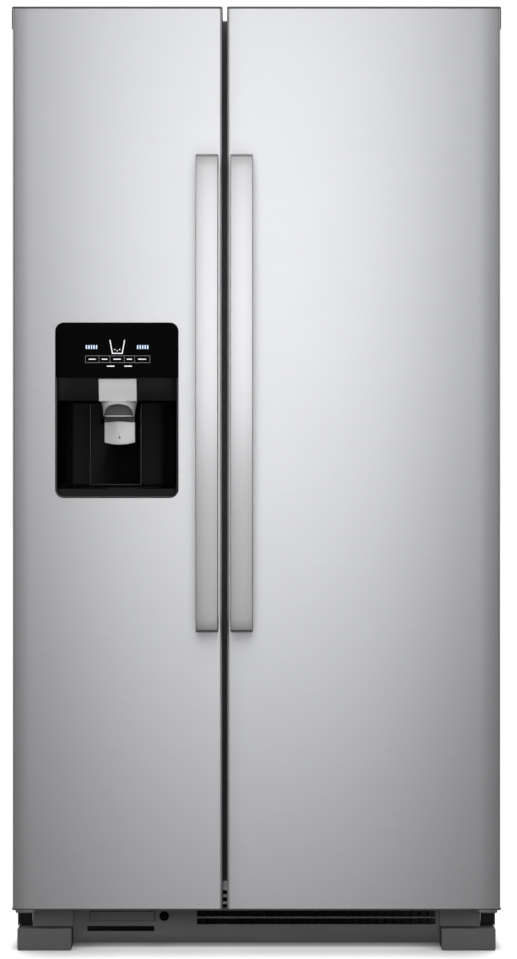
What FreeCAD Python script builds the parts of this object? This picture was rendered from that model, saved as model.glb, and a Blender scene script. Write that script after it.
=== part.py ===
import FreeCAD, Part
import math
import os

# Side by side refrigerator, in millimetres. Z is up, the doors face -Y, and X runs to the right.
# The origin is on the floor, under the middle of the whole appliance.

os.makedirs("parts", exist_ok=True)
Vector = FreeCAD.Vector

# ---------------------------------------------------------------- driving dimensions
WIDTH = 900.0
HEIGHT = 1751.0
DEPTH = 857.0
HANDLE_REACH = 62.5
DOOR_DEPTH = 62.0
SEAL_GAP = 12.0
DOOR_BOTTOM = 90.0
DOOR_GAP_CENTRE = -58.5
DOOR_GAP = 8.5
CABINET_WIDTH = 896.0
CABINET_TOP = 1740.0
HINGE_INSET = 24.0
HINGE_SETBACK = 30.0

FRONT = -DEPTH / 2
REAR = DEPTH / 2
DOOR_FRONT = FRONT + HANDLE_REACH
DOOR_BACK = DOOR_FRONT + DOOR_DEPTH
CABINET_FRONT = DOOR_BACK + SEAL_GAP
HALF_CABINET = CABINET_WIDTH / 2
HINGE_X = WIDTH / 2 - HINGE_INSET
HINGE_Y = DOOR_FRONT + HINGE_SETBACK
FREEZER_DOOR_EDGE = DOOR_GAP_CENTRE - DOOR_GAP / 2
FRIDGE_DOOR_EDGE = DOOR_GAP_CENTRE + DOOR_GAP / 2

# sheet and wall thicknesses
STEEL = 1.0
DOOR_SKIN = 0.8
LINER = 2.0
BIN_WALL = 3.0
FIT = 0.05

# base and machine compartment
PAN_TOP = 85.5
PAN_STEEL = 1.5
RAIL = 3.0
RAIL_BOTTOM = 42.0
RAIL_INSET = 8.0
FRONT_LIP = 9.0
MACHINE_FRONT = 190.0
MACHINE_TOP = 270.0
MACHINE_BOTTOM = 12.0
FLOOR_HALF = 430.0
FLOOR_THICK = 2.0
FLOOR_INSET = 20.0
FLOOR_REAR = REAR - 5.0

# compartments, measured inside the liners
WALL = 48.0
FREEZER_LEFT = -HALF_CABINET + WALL
FREEZER_RIGHT = -90.0
FREEZER_MIDDLE = (FREEZER_LEFT + FREEZER_RIGHT) / 2
FRIDGE_LEFT = -27.0
FRIDGE_RIGHT = HALF_CABINET - WALL
ROOM_FRONT = CABINET_FRONT + STEEL
ROOM_BACK = 373.0
ROOM_FLOOR = 128.0
ROOM_CEILING = 1690.0
HUMP_FRONT = 148.0
HUMP_TOP = 312.0
SHELF_FRONT = -186.0
SHELF_BACK = 360.0

# running gear and levelling feet
ROLLER_X = 400.0
ROLLER_WIDTH = 24.0
FRONT_ROLLER = 18.0
FRONT_ROLLER_Y = -200.0
FRONT_ROLLER_LIFT = 1.0
REAR_ROLLER = 22.0
REAR_ROLLER_Y = 385.0
AXLE = 4.0
CHEEK_GAP = 26.0
CHEEK_HALF = 14.0
CHEEK_DROP = 7.0
FOOT_OUT = 447.0
FOOT_IN = 346.0
FOOT_FRONT = -309.0
FOOT_BACK = -251.0
FOOT_TOP = 41.0
FOOT_EDGE = 1.5
FOOT_POST_X = 396.0
FOOT_POST_Y = -270.0
FOOT_POST_RADIUS = 8.0

# kick plate and water filter
GRILLE_HALF = 344.0
GRILLE_FRONT = -290.0
GRILLE_BACK = -286.0
GRILLE_LOW = 10.0
GRILLE_HIGH = 76.0
GRILLE_LEDGE = 3.0
END_BLOCK_OUT = 418.0
END_BLOCK_LOW = 45.0
VENT_LEFT = -112.0
VENT_RIGHT = 336.0
VENT_LOW = 44.0
VENT_HIGH = 70.0
RIB_PITCH = 16.0
RIB = 2.4
BAR_HALF = 1.5
FINGER_SLOT = (-318.0, -192.0, 31.0, 41.0)
FILTER_X = -252.0
FILTER_Z = 59.5
FILTER_RADIUS = 16.0
FILTER_FRONT = -262.0
FILTER_BACK = -70.0
NECK_BACK = -52.0
NECK_RADIUS = 9.0
SADDLE_HALF = 10.0
SADDLE_SPAN = (-180.0, -120.0)
SADDLE_WRAP = 4.0
CAP_HALF = 60.5
CAP_LOW = 51.0
CAP_HIGH = 68.0
CAP_HUB = 8.0
BUTTON_X = -173.0
BUTTON_RADIUS = 8.5
BUTTON_STEM = 4.0
BUTTON_BACK = -282.0

# drawers: bottom, top and rear of each, and their sides, which stand clear of the open doors
BASKET_LEFT = -380.0
BASKET_RIGHT = -96.0
BASKET_LEVELS = ((142.0, 290.0, 130.0), (350.0, 510.0, 280.0))
DRAWER_LEFT = -18.0
DRAWER_RIGHT = 380.0
CRISPER_LEVELS = ((146.0, 306.0, 130.0), (350.0, 530.0, 340.0))
MEAT_LEVELS = (592.0, 700.0, 340.0)
DRAWER_PROUD = 4.0
DRAWER_CORNER = 10.0
RAIL_THICK = 8.0
RAIL_CLEAR = 0.5
RAIL_OVERLAP = 10.0

# hinges
ARM_HALF = 9.0
ARM_THICK = 4.0
ARM_LEAN = math.radians(15.0)
ARM_FLARE = 10.0
ARM_FOOT = 90.0
PLATE_LOW = 80.0
PLATE_HIGH = 86.0
PLATE_OUT = 446.0
PLATE_IN = 408.0
LEG_IN = 420.0
LEG_LOW = 46.0
TOP_PIN_RADIUS = 4.0
TOP_PIN_LOW = 1714.0
BOTTOM_PIN_RADIUS = 5.0
BOTTOM_PIN_HIGH = 112.0
COVER_GAP = 0.8

# doors
CAP_THICK = 4.0
CAP_PROUD = 1.2
CAP_SKIRT = 40.0
CAP_PLUG = 12.0
CAP_CORNER = 6.0
BOTTOM_CAP_THICK = 3.0
DOOR_EDGE_RADIUS = 5.0
BOSS_RADIUS = 9.0
BOSS_LOW = 122.0
BOSS_HIGH = 1708.0
POCKET_FLOOR = 1738.0
POCKET_REACH = 22.0
GASKET_WIDTH = 20.0
GASKET_CLEAR = 0.4
GASKET_LOW = 103.0
GASKET_HIGH = 1733.0
GASKET_CORNER = 12.0
DYKE_WIDTH = 20.0
DYKE_REACH = 55.0
DYKE_LOW = 150.0
DYKE_HIGH = 1664.0
DYKE_CORNER = 5.0
FREEZER_DYKES = (-394.0, -104.0)
FRIDGE_DYKES = (-18.0, 394.0)
BULGE_LOW = 838.0
BULGE_HIGH = 1182.0
BULGE_BACK = -258.0

# door bins: bottom and height of each, and the butter compartment
BIN_REACH = 104.0
BIN_CORNER = 10.0
FREEZER_BIN_ROWS = ((190, 110), (400, 110), (610, 110), (1210, 110), (1430, 110))
FRIDGE_BIN_ROWS = ((190, 120), (460, 120), (730, 120), (1000, 110), (1260, 110))
DAIRY_LOW = 1500.0
DAIRY_HIGH = 1640.0
DAIRY_REACH = 80.0
EAR_HALF = 5.0
FLAP_PIVOT_Y = DOOR_BACK + DAIRY_REACH + 6
FLAP_PIVOT_Z = DAIRY_HIGH - 6
FLAP_PIN = 2.0
FLAP_HALF = 1.5

# handles
HANDLE_WIDTH = 40.5
HANDLE_LOW = 606.0
HANDLE_HIGH = 1473.0
HANDLE_THICK = 15.0
HANDLE_LEG = 30.0
HANDLE_LEG_TAPER = 6.0
HANDLE_BOW = 9.0
HANDLE_BEVEL = 5.0
HANDLE_INSET = 7.0

# dispenser in the freezer door
NICHE_LEFT = -369.8
NICHE_RIGHT = -143.5
NICHE_LOW = 848.0
NICHE_HIGH = 1170.0
NICHE_RADIUS = 16.0
NICHE_PROUD = 0.8
NICHE_BACK = -262.0
NICHE_WALL = 3.0
PANEL_LOW = 1069.0
PANEL_THICK = 2.4
BROW_LOW = 1026.0
BROW_FOOT = 20.0
BROW_HEAD = 10.0
TRAY_LOW = 858.0
TRAY_HIGH = 868.0
SLOT_WIDTH = 4.0
SLOT_PITCH = 9.0
SLOT_DEEP = 3.0
CHANNEL_RADIUS = 26.0
POCKET_DEEP = 32.0
CHUTE_X = -256.0
CHUTE_Y = -318.0
CHUTE_LOW = 1010.0
CHUTE_BACK = -235.0
CHUTE_HIGH = 1165.0
CHUTE_COVER_HALF = 35.0
COVER_THICK = 4.0
FUNNEL_LOW = 997.0
FUNNEL_LOW_RADIUS = 27.0
FUNNEL_HIGH_RADIUS = 33.0
FUNNEL_WALL = 2.5
LUG_HALF = 5.0
PADDLE_PIVOT_Y = -300.0
PADDLE_PIVOT_Z = 989.0
PADDLE_PIN = 2.5
PADDLE_LOW = 945.0
PADDLE_HALF = 30.0
PADDLE_FRONT = 2.0
PADDLE_REAR = 1.5
PADDLE_CORNER = 6.0

# freezer compartment
FREEZER_SHELF_LEVELS = (580.0, 860.0, 1140.0)
SHELF_BARS = 11
WIRE = 2.2
FRAME_WIRE = 3.0
EVAPORATOR_COVER_Y = 296.0
EVAPORATOR_COVER_TOP = 1130.0
COVER_SHEET = 3.0
RIB_HALF = 90.0
FAN_Y = 328.0
FAN_Z = 1020.0
FAN_RADIUS = 52.0
FAN_SHAFT = 3.0
MOTOR_ARM_HALF = 8.0
COIL_Y = 335.0
COIL_LOW = 360.0
COIL_STEP = 50.0
COIL_ROWS = 10
COIL_TUBE = 5.0
FIN_COUNT = 9
FIN_PITCH = 25.0
FIN_THICK = 1.2
MAKER_FRONT = 120.0
MAKER_BACK = 220.0
MAKER_LOW = 1540.0
MAKER_HIGH = 1600.0
MAKER_MOTOR = 45.0
POCKET_COUNT = 7
POCKET_PITCH = 25.5
POCKET_LENGTH = 22.0
BIN_LEFT = FREEZER_LEFT + 20
BIN_RIGHT = FREEZER_RIGHT - 24
BIN_MIDDLE = (BIN_LEFT + BIN_RIGHT) / 2
BIN_FRONT = SHELF_FRONT + 2
BIN_BACK = 250.0
BIN_LOW = 1144.0
BIN_HIGH = 1400.0
OUTLET_HALF = 32.0
AUGER_Z = 1195.0
AUGER_RADIUS = 30.0
AUGER_SHAFT = 6.0
AUGER_BLADES = 7
AUGER_PITCH = 50.0

# fridge compartment
FRIDGE_SHELF_LEVELS = (905.0, 1150.0, 1395.0)
COVER_LEVELS = (324.0, 560.0, 720.0)
LOW_COVER_BACK = 140.0
COVER_DEEP = 8.0
GLASS = 5.0
GLASS_INSET = 12.0
SHELF_RIM = 16.0
SHELF_CLEAR = 3.0
LIP_INSET = 60.0
HOUSING_BOX = (40.0, 330.0, 60.0, 300.0, 1640.0)
HOUSING_EDGE = 14.0
SWITCH_Z = 1680.0
FREEZER_SWITCH_X = -245.0
FRIDGE_SWITCH_X = 186.0
SWITCH_RADIUS = 3.0
SWITCH_BLOCK = 12.0
SWITCH_BLOCK_SPAN = (-286.0, -258.0)

# machine compartment
MACHINE_Y = 310.0
COMPRESSOR_X = 190.0
CAN_RADIUS = 82.0
CAN_HEIGHT = 160.0
CAN_LOW = 66.0
CAN_CROWN = 46.0
MOUNT_HALF_X = 100.0
MOUNT_HALF_Y = 70.0
MOUNT_LOW = 56.0
MOUNT_THICK = 4.0
MOUNT_FOOT = 14.0
CONDENSER_SPAN = (-380.0, -170.0)
CONDENSER_LAYERS = (270.0, 310.0, 350.0)
CONDENSER_LOW = 92.0
CONDENSER_STEP = 24.0
CONDENSER_ROWS = 6
CONDENSER_TUBE = 4.0
CONDENSER_FAN_X = -70.0
CONDENSER_FAN_Z = 155.0
CONDENSER_FAN_RADIUS = 62.0
SHROUD_HALF = 80.0
SHROUD_TOP = 240.0
MOTOR_RADIUS = 24.0
DRAIN_PAN_BOX = (-374.0, -150.0, 225.0, 395.0, 44.0, 66.0)
DRAIN_PAN_WALL = 2.5
LOUVRE_COLUMNS = 8
LOUVRE_ROWS = 7
LOUVRE_LEFT = -400.0
LOUVRE_LOW = 90.0
LOUVRE_PITCH = (100.0, 22.0)
LOUVRE_SIZE = (70.0, 7.0)
VALVE_X = 334.0
VALVE_Y = 390.0
VALVE_HALF = 20.0
INLET_Z = 78.0
INLET_RADIUS = 9.0
SOCKET_BOX = (-440.0, -405.0, 100.0, 130.0)
SOCKET_SLOT = (-434.0, -411.0, 107.0, 123.0)


# ---------------------------------------------------------------- small helpers
def block(x0, x1, y0, y1, z0, z1):
    """A box between two corners."""
    return Part.makeBox(x1 - x0, y1 - y0, z1 - z0, Vector(x0, y0, z0))


def rod(start, end, radius):
    """A round bar between two points."""
    axis = end - start
    return Part.makeCylinder(radius, axis.Length, start, axis)


def edges_along(shape, axis, keep):
    """The straight edges that run along one axis and whose middle passes the keep test."""
    found = []
    for edge in shape.Edges:
        if len(edge.Vertexes) < 2:
            continue
        run = edge.Vertexes[1].Point - edge.Vertexes[0].Point
        parts = [abs(run.x), abs(run.y), abs(run.z)]
        if parts[axis] > 0.999 * run.Length and keep(edge.CenterOfMass):
            found.append(edge)
    return found


def soften(shape, radius, axis, keep=lambda middle: True):
    """The shape with the chosen straight edges rounded."""
    return shape.makeFillet(radius, edges_along(shape, axis, keep))


def join(shapes):
    """One solid from overlapping or touching pieces."""
    if len(shapes) == 1:
        return shapes[0]
    return shapes[0].multiFuse(shapes[1:]).removeSplitter()


def group(shapes):
    """Separate solids that share one node."""
    return Part.makeCompound(shapes)


def mirrored(shape):
    """The same piece on the other side of the appliance."""
    return shape.mirror(Vector(0, 0, 0), Vector(1, 0, 0))


def both_sides(shape):
    return group([shape, mirrored(shape)])


def prism_x(outline, x0, x1):
    """A solid between two X planes from a closed outline of (y, z) points."""
    points = [Vector(x0, y, z) for y, z in outline]
    wire = Part.makePolygon(points + [points[0]])
    return Part.Face(wire).extrude(Vector(x1 - x0, 0, 0))


def prism_z(outline, z0, z1):
    """A solid between two heights from a closed outline of (x, y) points."""
    points = [Vector(x, y, z0) for x, y in outline]
    wire = Part.makePolygon(points + [points[0]])
    return Part.Face(wire).extrude(Vector(0, 0, z1 - z0))


def open_box(x0, x1, y0, y1, z0, z1, wall, corner):
    """A tray that is open at the top, with rounded upright corners."""
    outside = soften(block(x0, x1, y0, y1, z0, z1), corner, 2)
    inside = block(x0 + wall, x1 - wall, y0 + wall, y1 - wall, z0 + wall, z1 + wall)
    return outside.cut(soften(inside, corner - wall, 2))


def save(name, shape):
    shape.exportStep(f"parts/{name}.step")


# ---------------------------------------------------------------- cabinet
def cabinet_shell():
    """Painted sheet: two sides and a top, with a flange turned in around the front."""
    half = HALF_CABINET
    top = CABINET_TOP
    outside = block(-half, half, CABINET_FRONT, REAR - STEEL, RAIL_BOTTOM, top)
    inside = block(
        -half + STEEL, half - STEEL, CABINET_FRONT - 1, REAR, RAIL_BOTTOM - 1, top - STEEL
    )
    shell = outside.cut(inside)
    flange_y = (CABINET_FRONT, CABINET_FRONT + STEEL)
    left = block(-half, FREEZER_LEFT, *flange_y, PAN_TOP + 1, top)
    right = block(FRIDGE_RIGHT, half, *flange_y, PAN_TOP + 1, top)
    over = block(-half, half, *flange_y, ROOM_CEILING, top)
    return join([shell, left, right, over])


def cabinet_back_panel():
    """Flat steel sheet over the foam behind the compartments."""
    half = HALF_CABINET - STEEL
    return block(-half, half, REAR - STEEL - 0.5, REAR - 0.5, MACHINE_TOP + 2, CABINET_TOP - STEEL)


def base_frame():
    """Steel pan under the compartments, with side rails, a front rail and the machine step."""
    half = HALF_CABINET - STEEL
    step_front = MACHINE_FRONT - PAN_STEEL
    floor_front = MACHINE_FRONT + FLOOR_INSET
    floor_low = RAIL_BOTTOM - FLOOR_THICK
    pan = block(-half, half, CABINET_FRONT, MACHINE_FRONT, PAN_TOP - PAN_STEEL, PAN_TOP)
    front_y = (CABINET_FRONT, CABINET_FRONT + STEEL)
    lip = block(-half, half, *front_y, PAN_TOP - FRONT_LIP, PAN_TOP + STEEL)
    apron = block(FREEZER_LEFT, FRIDGE_RIGHT, *front_y, PAN_TOP, ROOM_FLOOR - LINER)
    step = block(-half, half, step_front, MACHINE_FRONT, PAN_TOP, MACHINE_TOP)
    roof = block(-half, half, MACHINE_FRONT, REAR - RAIL, MACHINE_TOP - PAN_STEEL, MACHINE_TOP)
    floor_plate = block(-FLOOR_HALF, FLOOR_HALF, floor_front, FLOOR_REAR, floor_low, RAIL_BOTTOM)
    for side in (-1, 1):
        near = side * ROLLER_X - CHEEK_GAP / 2
        reach = REAR_ROLLER + 2 * RAIL
        along = (REAR_ROLLER_Y - reach, REAR_ROLLER_Y + reach)
        floor_plate = floor_plate.cut(block(near, near + CHEEK_GAP, *along, floor_low - 1, RAIL_BOTTOM + 1))
    rail = block(-half, -half + RAIL, CABINET_FRONT + RAIL_INSET, REAR - RAIL, RAIL_BOTTOM, PAN_TOP)
    tie = block(-FLOOR_HALF - FLOOR_THICK, -FLOOR_HALF, step_front, FLOOR_REAR, floor_low, PAN_TOP)
    foot = block(-half, -FLOOR_HALF, floor_front, FLOOR_REAR, RAIL_BOTTOM, RAIL_BOTTOM + FLOOR_THICK)
    cheek = block(-half, -half + PAN_STEEL, step_front, REAR - RAIL, PAN_TOP, MACHINE_TOP)
    near, far = ROLLER_X - CHEEK_GAP / 2 - RAIL, ROLLER_X + CHEEK_GAP / 2 + RAIL
    rear_y = (REAR_ROLLER_Y - CHEEK_HALF, REAR_ROLLER_Y + CHEEK_HALF)
    bridge = block(-far, -near, *rear_y, PAN_TOP - CHEEK_DROP - 0.5, PAN_TOP)
    one_side = [rail, tie, foot, cheek, bridge]
    wheels = ((FRONT_ROLLER_Y, FRONT_ROLLER + FRONT_ROLLER_LIFT), (REAR_ROLLER_Y, REAR_ROLLER))
    for y, axle_z in wheels:
        for x in (near, far - RAIL):
            hanger = block(-x - RAIL, -x, y - CHEEK_HALF, y + CHEEK_HALF, axle_z - CHEEK_DROP, PAN_TOP)
            one_side.append(hanger)
        one_side.append(rod(Vector(-far, y, axle_z), Vector(-near, y, axle_z), AXLE))
    saddle_low = FILTER_Z + FILTER_RADIUS - SADDLE_WRAP
    saddle = block(
        FILTER_X - SADDLE_HALF, FILTER_X + SADDLE_HALF, *SADDLE_SPAN, saddle_low, PAN_TOP
    )
    cartridge = rod(
        Vector(FILTER_X, GRILLE_BACK, FILTER_Z), Vector(FILTER_X, FILTER_BACK, FILTER_Z), FILTER_RADIUS
    )
    both = one_side + [mirrored(piece) for piece in one_side]
    return join([pan, lip, apron, step, roof, floor_plate] + both + [saddle.cut(cartridge)])


def room_block(left, right, grow):
    """The inside space of a compartment, grown outward, with the raised floor at the rear."""
    past = 60.0
    low, high = left - grow, right + grow
    room = block(low, high, ROOM_FRONT, ROOM_BACK + grow, ROOM_FLOOR - grow, ROOM_CEILING + grow)
    hump = block(
        low - 1, high + 1, HUMP_FRONT + grow, ROOM_BACK + past, ROOM_FLOOR - past, HUMP_TOP - grow
    )
    return room.cut(hump)


def liner(left, right, drawer_left, drawer_right, drawers):
    """Formed plastic box, open at the front, stepped over the machine compartment, with drawer rails."""
    inner = block(left, right, ROOM_FRONT - 5, ROOM_BACK, ROOM_FLOOR, ROOM_CEILING)
    hump = block(left - 1, right + 1, HUMP_FRONT, ROOM_BACK + 1, ROOM_FLOOR - 1, HUMP_TOP)
    shell = room_block(left, right, LINER).cut(inner.cut(hump))
    rails = []
    for low, high, back in drawers:
        top = low - RAIL_CLEAR
        along = (SHELF_FRONT, back - 2, top - RAIL_THICK, top)
        rails.append(block(left - LINER / 2, drawer_left + RAIL_OVERLAP, *along))
        rails.append(block(drawer_right - RAIL_OVERLAP, right + LINER / 2, *along))
    return join([shell] + rails)


def cabinet_insulation():
    """Foam between the shell and the liners."""
    half = HALF_CABINET - STEEL
    foam = block(-half, half, ROOM_FRONT, REAR - STEEL - 0.5, PAN_TOP, CABINET_TOP - STEEL)
    machine = block(-half - 1, half + 1, MACHINE_FRONT - PAN_STEEL, REAR + 1, PAN_TOP - 1, MACHINE_TOP)
    foam = foam.cut(machine)
    foam = foam.cut(room_block(FREEZER_LEFT, FREEZER_RIGHT, LINER))
    return foam.cut(room_block(FRIDGE_LEFT, FRIDGE_RIGHT, LINER))


def mullion_cover():
    """Strip on the front of the wall between the compartments."""
    strip_y = (CABINET_FRONT, CABINET_FRONT + STEEL)
    return block(FREEZER_RIGHT, FRIDGE_LEFT, *strip_y, ROOM_FLOOR - LINER, ROOM_CEILING)


# ---------------------------------------------------------------- running gear


def rollers(y, radius, lift):
    """Two wheels on one line, each on its own axle."""
    middle = Vector(-ROLLER_X, y, radius + lift)
    half = Vector(ROLLER_WIDTH / 2, 0, 0)
    wheel = rod(middle - half, middle + half, radius)
    bore = rod(middle - half * 2, middle + half * 2, AXLE + FIT)
    return both_sides(wheel.cut(bore))


def brake_feet():
    """Wide levelling feet at the front corners, screwed down until they carry the front."""
    foot = block(-FOOT_OUT, -FOOT_IN, FOOT_FRONT, FOOT_BACK, 0, FOOT_TOP)
    foot = foot.makeChamfer(FOOT_EDGE, foot.Edges)
    middle = Vector(-FOOT_POST_X, FOOT_POST_Y, 0)
    low, high = Vector(0, 0, FOOT_TOP - 2), Vector(0, 0, PAN_TOP - PAN_STEEL)
    return both_sides(join([foot, rod(middle + low, middle + high, FOOT_POST_RADIUS)]))


# ---------------------------------------------------------------- kick plate and water filter


def base_grille():
    """Kick plate between the feet: vent bars, the filter slot, a finger slot and end blocks."""
    past = 10.0
    through = (GRILLE_FRONT - past, GRILLE_BACK + past)
    plate = block(-GRILLE_HALF, GRILLE_HALF, GRILLE_FRONT, GRILLE_BACK, GRILLE_LOW, GRILLE_HIGH)
    plate = plate.cut(block(VENT_LEFT, VENT_RIGHT, *through, VENT_LOW, VENT_HIGH))
    cap_reach = CAP_HALF + 1
    plate = plate.cut(
        block(FILTER_X - cap_reach, FILTER_X + cap_reach, *through, CAP_LOW - 1, CAP_HIGH + 1)
    )
    slot_left, slot_right, slot_low, slot_high = FINGER_SLOT
    plate = plate.cut(block(slot_left, slot_right, *through, slot_low, slot_high))
    hole_ends = [Vector(BUTTON_X, y, FILTER_Z) for y in through]
    pieces = [plate.cut(rod(*hole_ends, BUTTON_RADIUS + 0.5))]
    rib_x = VENT_LEFT + RIB_PITCH
    while rib_x < VENT_RIGHT - RIB_PITCH / 2:
        rib_z = (VENT_LOW - 1, VENT_HIGH + 1)
        pieces.append(block(rib_x, rib_x + RIB, GRILLE_FRONT + 1, GRILLE_BACK, *rib_z))
        rib_x += RIB_PITCH
    middle = (VENT_LOW + VENT_HIGH) / 2
    bar_z = (middle - BAR_HALF, middle + BAR_HALF)
    pieces.append(block(VENT_LEFT - 1, VENT_RIGHT + 1, GRILLE_FRONT, GRILLE_BACK, *bar_z))
    ledge_z = (GRILLE_HIGH - GRILLE_LEDGE, GRILLE_HIGH)
    pieces.append(block(-GRILLE_HALF, GRILLE_HALF, GRILLE_BACK, FILTER_FRONT - 1, *ledge_z))
    end_x = (-END_BLOCK_OUT, -GRILLE_HALF + 1)
    end = block(*end_x, FOOT_FRONT + 2, GRILLE_BACK, END_BLOCK_LOW, GRILLE_HIGH)
    return join(pieces + [end, mirrored(end)])


def filter_cap():
    """Front bar of the water filter, with a short hub that holds the cartridge."""
    bar_x = (FILTER_X - CAP_HALF, FILTER_X + CAP_HALF)
    bar = block(*bar_x, GRILLE_FRONT - 1, GRILLE_BACK + 1, CAP_LOW, CAP_HIGH)
    hub = rod(
        Vector(FILTER_X, GRILLE_BACK, FILTER_Z), Vector(FILTER_X, FILTER_FRONT, FILTER_Z), CAP_HUB
    )
    return join([bar, hub])


def water_filter():
    """Cartridge with the neck that plugs into its head."""
    front, back, tip = [Vector(FILTER_X, y, FILTER_Z) for y in (FILTER_FRONT, FILTER_BACK, NECK_BACK)]
    return join([rod(front, back, FILTER_RADIUS), rod(back, tip, NECK_RADIUS)])


def filter_eject_button():
    """Round button that pushes the cartridge free."""
    front, near, back, tip = [
        Vector(BUTTON_X, y, FILTER_Z) for y in (GRILLE_FRONT - 3, GRILLE_FRONT + 2, BUTTON_BACK, FILTER_FRONT)
    ]
    return join([rod(front, back, BUTTON_RADIUS), rod(near, tip, BUTTON_STEM)])


# ---------------------------------------------------------------- hinges


def arm_outline(half):
    """Plan of a hinge arm that leaves the pin, leaning inward, to a wide foot on the cabinet top."""
    reach = CABINET_FRONT + 6 - HINGE_Y
    pin_x = -HINGE_X
    end_x = pin_x + math.tan(ARM_LEAN) * reach
    end_y = HINGE_Y + reach
    flare_y = end_y + ARM_FLARE + 2
    wide = half + ARM_FLARE
    return [
        (pin_x - half, HINGE_Y),
        (pin_x + half, HINGE_Y),
        (end_x + half, end_y),
        (end_x + wide, flare_y),
        (end_x + wide, end_y + ARM_FOOT),
        (end_x - wide, end_y + ARM_FOOT),
        (end_x - wide, flare_y),
        (end_x - half, end_y),
    ]


def pin_rod(low, high, radius):
    """Round bar on the left door's hinge line."""
    return rod(Vector(-HINGE_X, HINGE_Y, low), Vector(-HINGE_X, HINGE_Y, high), radius)


def top_hinge():
    """Steel plate on the cabinet top with a pin that hangs into the door."""
    arm = prism_z(arm_outline(ARM_HALF), CABINET_TOP, CABINET_TOP + ARM_THICK)
    tip = pin_rod(CABINET_TOP, CABINET_TOP + ARM_THICK, ARM_HALF)
    return join([arm, tip, pin_rod(TOP_PIN_LOW, CABINET_TOP + 1, TOP_PIN_RADIUS)])


def bottom_hinge():
    """Bracket under the door, with the lower pin and a leg fixed to the front rail."""
    plate = block(-PLATE_OUT, -PLATE_IN, HINGE_Y - 12, CABINET_FRONT, PLATE_LOW, PLATE_HIGH)
    plate = soften(plate, 8, 2, lambda middle: middle.y < HINGE_Y)
    leg = block(-PLATE_OUT, -LEG_IN, CABINET_FRONT - 3, CABINET_FRONT, LEG_LOW, PLATE_HIGH)
    return join([plate, leg, pin_rod(PLATE_LOW, BOTTOM_PIN_HIGH, BOTTOM_PIN_RADIUS)])


def hinge_brackets():
    return group([top_hinge(), mirrored(top_hinge()), bottom_hinge(), mirrored(bottom_hinge())])


def hinge_cover():
    """Plastic cover over the plate of a top hinge, with a nose out to the pin."""
    low, high = CABINET_TOP + ARM_THICK, HEIGHT - COVER_GAP
    return join([prism_z(arm_outline(ARM_HALF), low, high), pin_rod(low, high, ARM_HALF)])


# ---------------------------------------------------------------- doors
def door_span(freezer):
    """Left and right edges of a door."""
    if freezer:
        return -WIDTH / 2, FREEZER_DOOR_EDGE
    return FRIDGE_DOOR_EDGE, WIDTH / 2


def door_side(freezer):
    return -1 if freezer else 1


def skin_span(freezer):
    """The sheet stands in from the door's outer edge by the thickness of the cap's skirt."""
    low, high = door_span(freezer)
    if freezer:
        return low + CAP_PROUD, high
    return low, high - CAP_PROUD


def hinge_pocket(freezer):
    """Space in the top outer rear corner of a door that clears the hinge arm through the swing."""
    side = door_side(freezer)
    low, high = sorted((side * (HINGE_X - POCKET_REACH), side * (WIDTH / 2 + 1)))
    return block(low, high, DOOR_FRONT + DOOR_EDGE_RADIUS, DOOR_BACK + 1, POCKET_FLOOR, HEIGHT + 1)


def door_skin(freezer):
    """Steel front and sides of a door."""
    low, high = skin_span(freezer)
    bottom = DOOR_BOTTOM + BOTTOM_CAP_THICK
    top = HEIGHT - CAP_THICK
    outer = block(low, high, DOOR_FRONT, DOOR_BACK, bottom, top)
    outer = soften(outer, DOOR_EDGE_RADIUS, 2, lambda middle: middle.y < DOOR_FRONT + 1)
    inner = block(
        low + DOOR_SKIN, high - DOOR_SKIN, DOOR_FRONT + DOOR_SKIN, DOOR_BACK + 1, bottom - 1, top + 1
    )
    inner = soften(inner, DOOR_EDGE_RADIUS - DOOR_SKIN, 2, lambda middle: middle.y < DOOR_FRONT + 1)
    skin = outer.cut(inner).cut(hinge_pocket(freezer))
    if freezer:
        skin = skin.cut(niche_outline(DOOR_FRONT - 1, DOOR_FRONT + 2))
    return skin


def boss(freezer, low, high, radius):
    """Upright cylinder on the hinge line."""
    x = door_side(freezer) * HINGE_X
    return rod(Vector(x, HINGE_Y, low), Vector(x, HINGE_Y, high), radius)


def plug(freezer, low, high):
    """Part of an end cap that sits inside the sheet."""
    left, right = skin_span(freezer)
    body = block(
        left + DOOR_SKIN, right - DOOR_SKIN, DOOR_FRONT + DOOR_SKIN, DOOR_BACK - LINER, low, high
    )
    return soften(body, DOOR_EDGE_RADIUS - DOOR_SKIN, 2, lambda middle: middle.y < DOOR_FRONT + 1)


def top_cap(freezer):
    """Plastic end of a door: a plate, a skirt down the outer side and the hinge socket."""
    low, high = door_span(freezer)
    under = HEIGHT - CAP_THICK
    plate = block(low, high, DOOR_FRONT, DOOR_BACK, under, HEIGHT)
    plate = soften(plate, CAP_CORNER, 2, lambda middle: middle.y < DOOR_FRONT + 1)
    outer = low if freezer else high - CAP_PROUD
    skirt = block(outer, outer + CAP_PROUD, DOOR_FRONT + 3, DOOR_BACK, HEIGHT - CAP_SKIRT, under)
    inside = plug(freezer, under - CAP_PLUG, under)
    cap = join([plate, skirt, inside, boss(freezer, BOSS_HIGH, POCKET_FLOOR, BOSS_RADIUS)])
    return cap.cut(hinge_pocket(freezer)).cut(boss(freezer, BOSS_HIGH + 4, HEIGHT, TOP_PIN_RADIUS + FIT))


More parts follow.
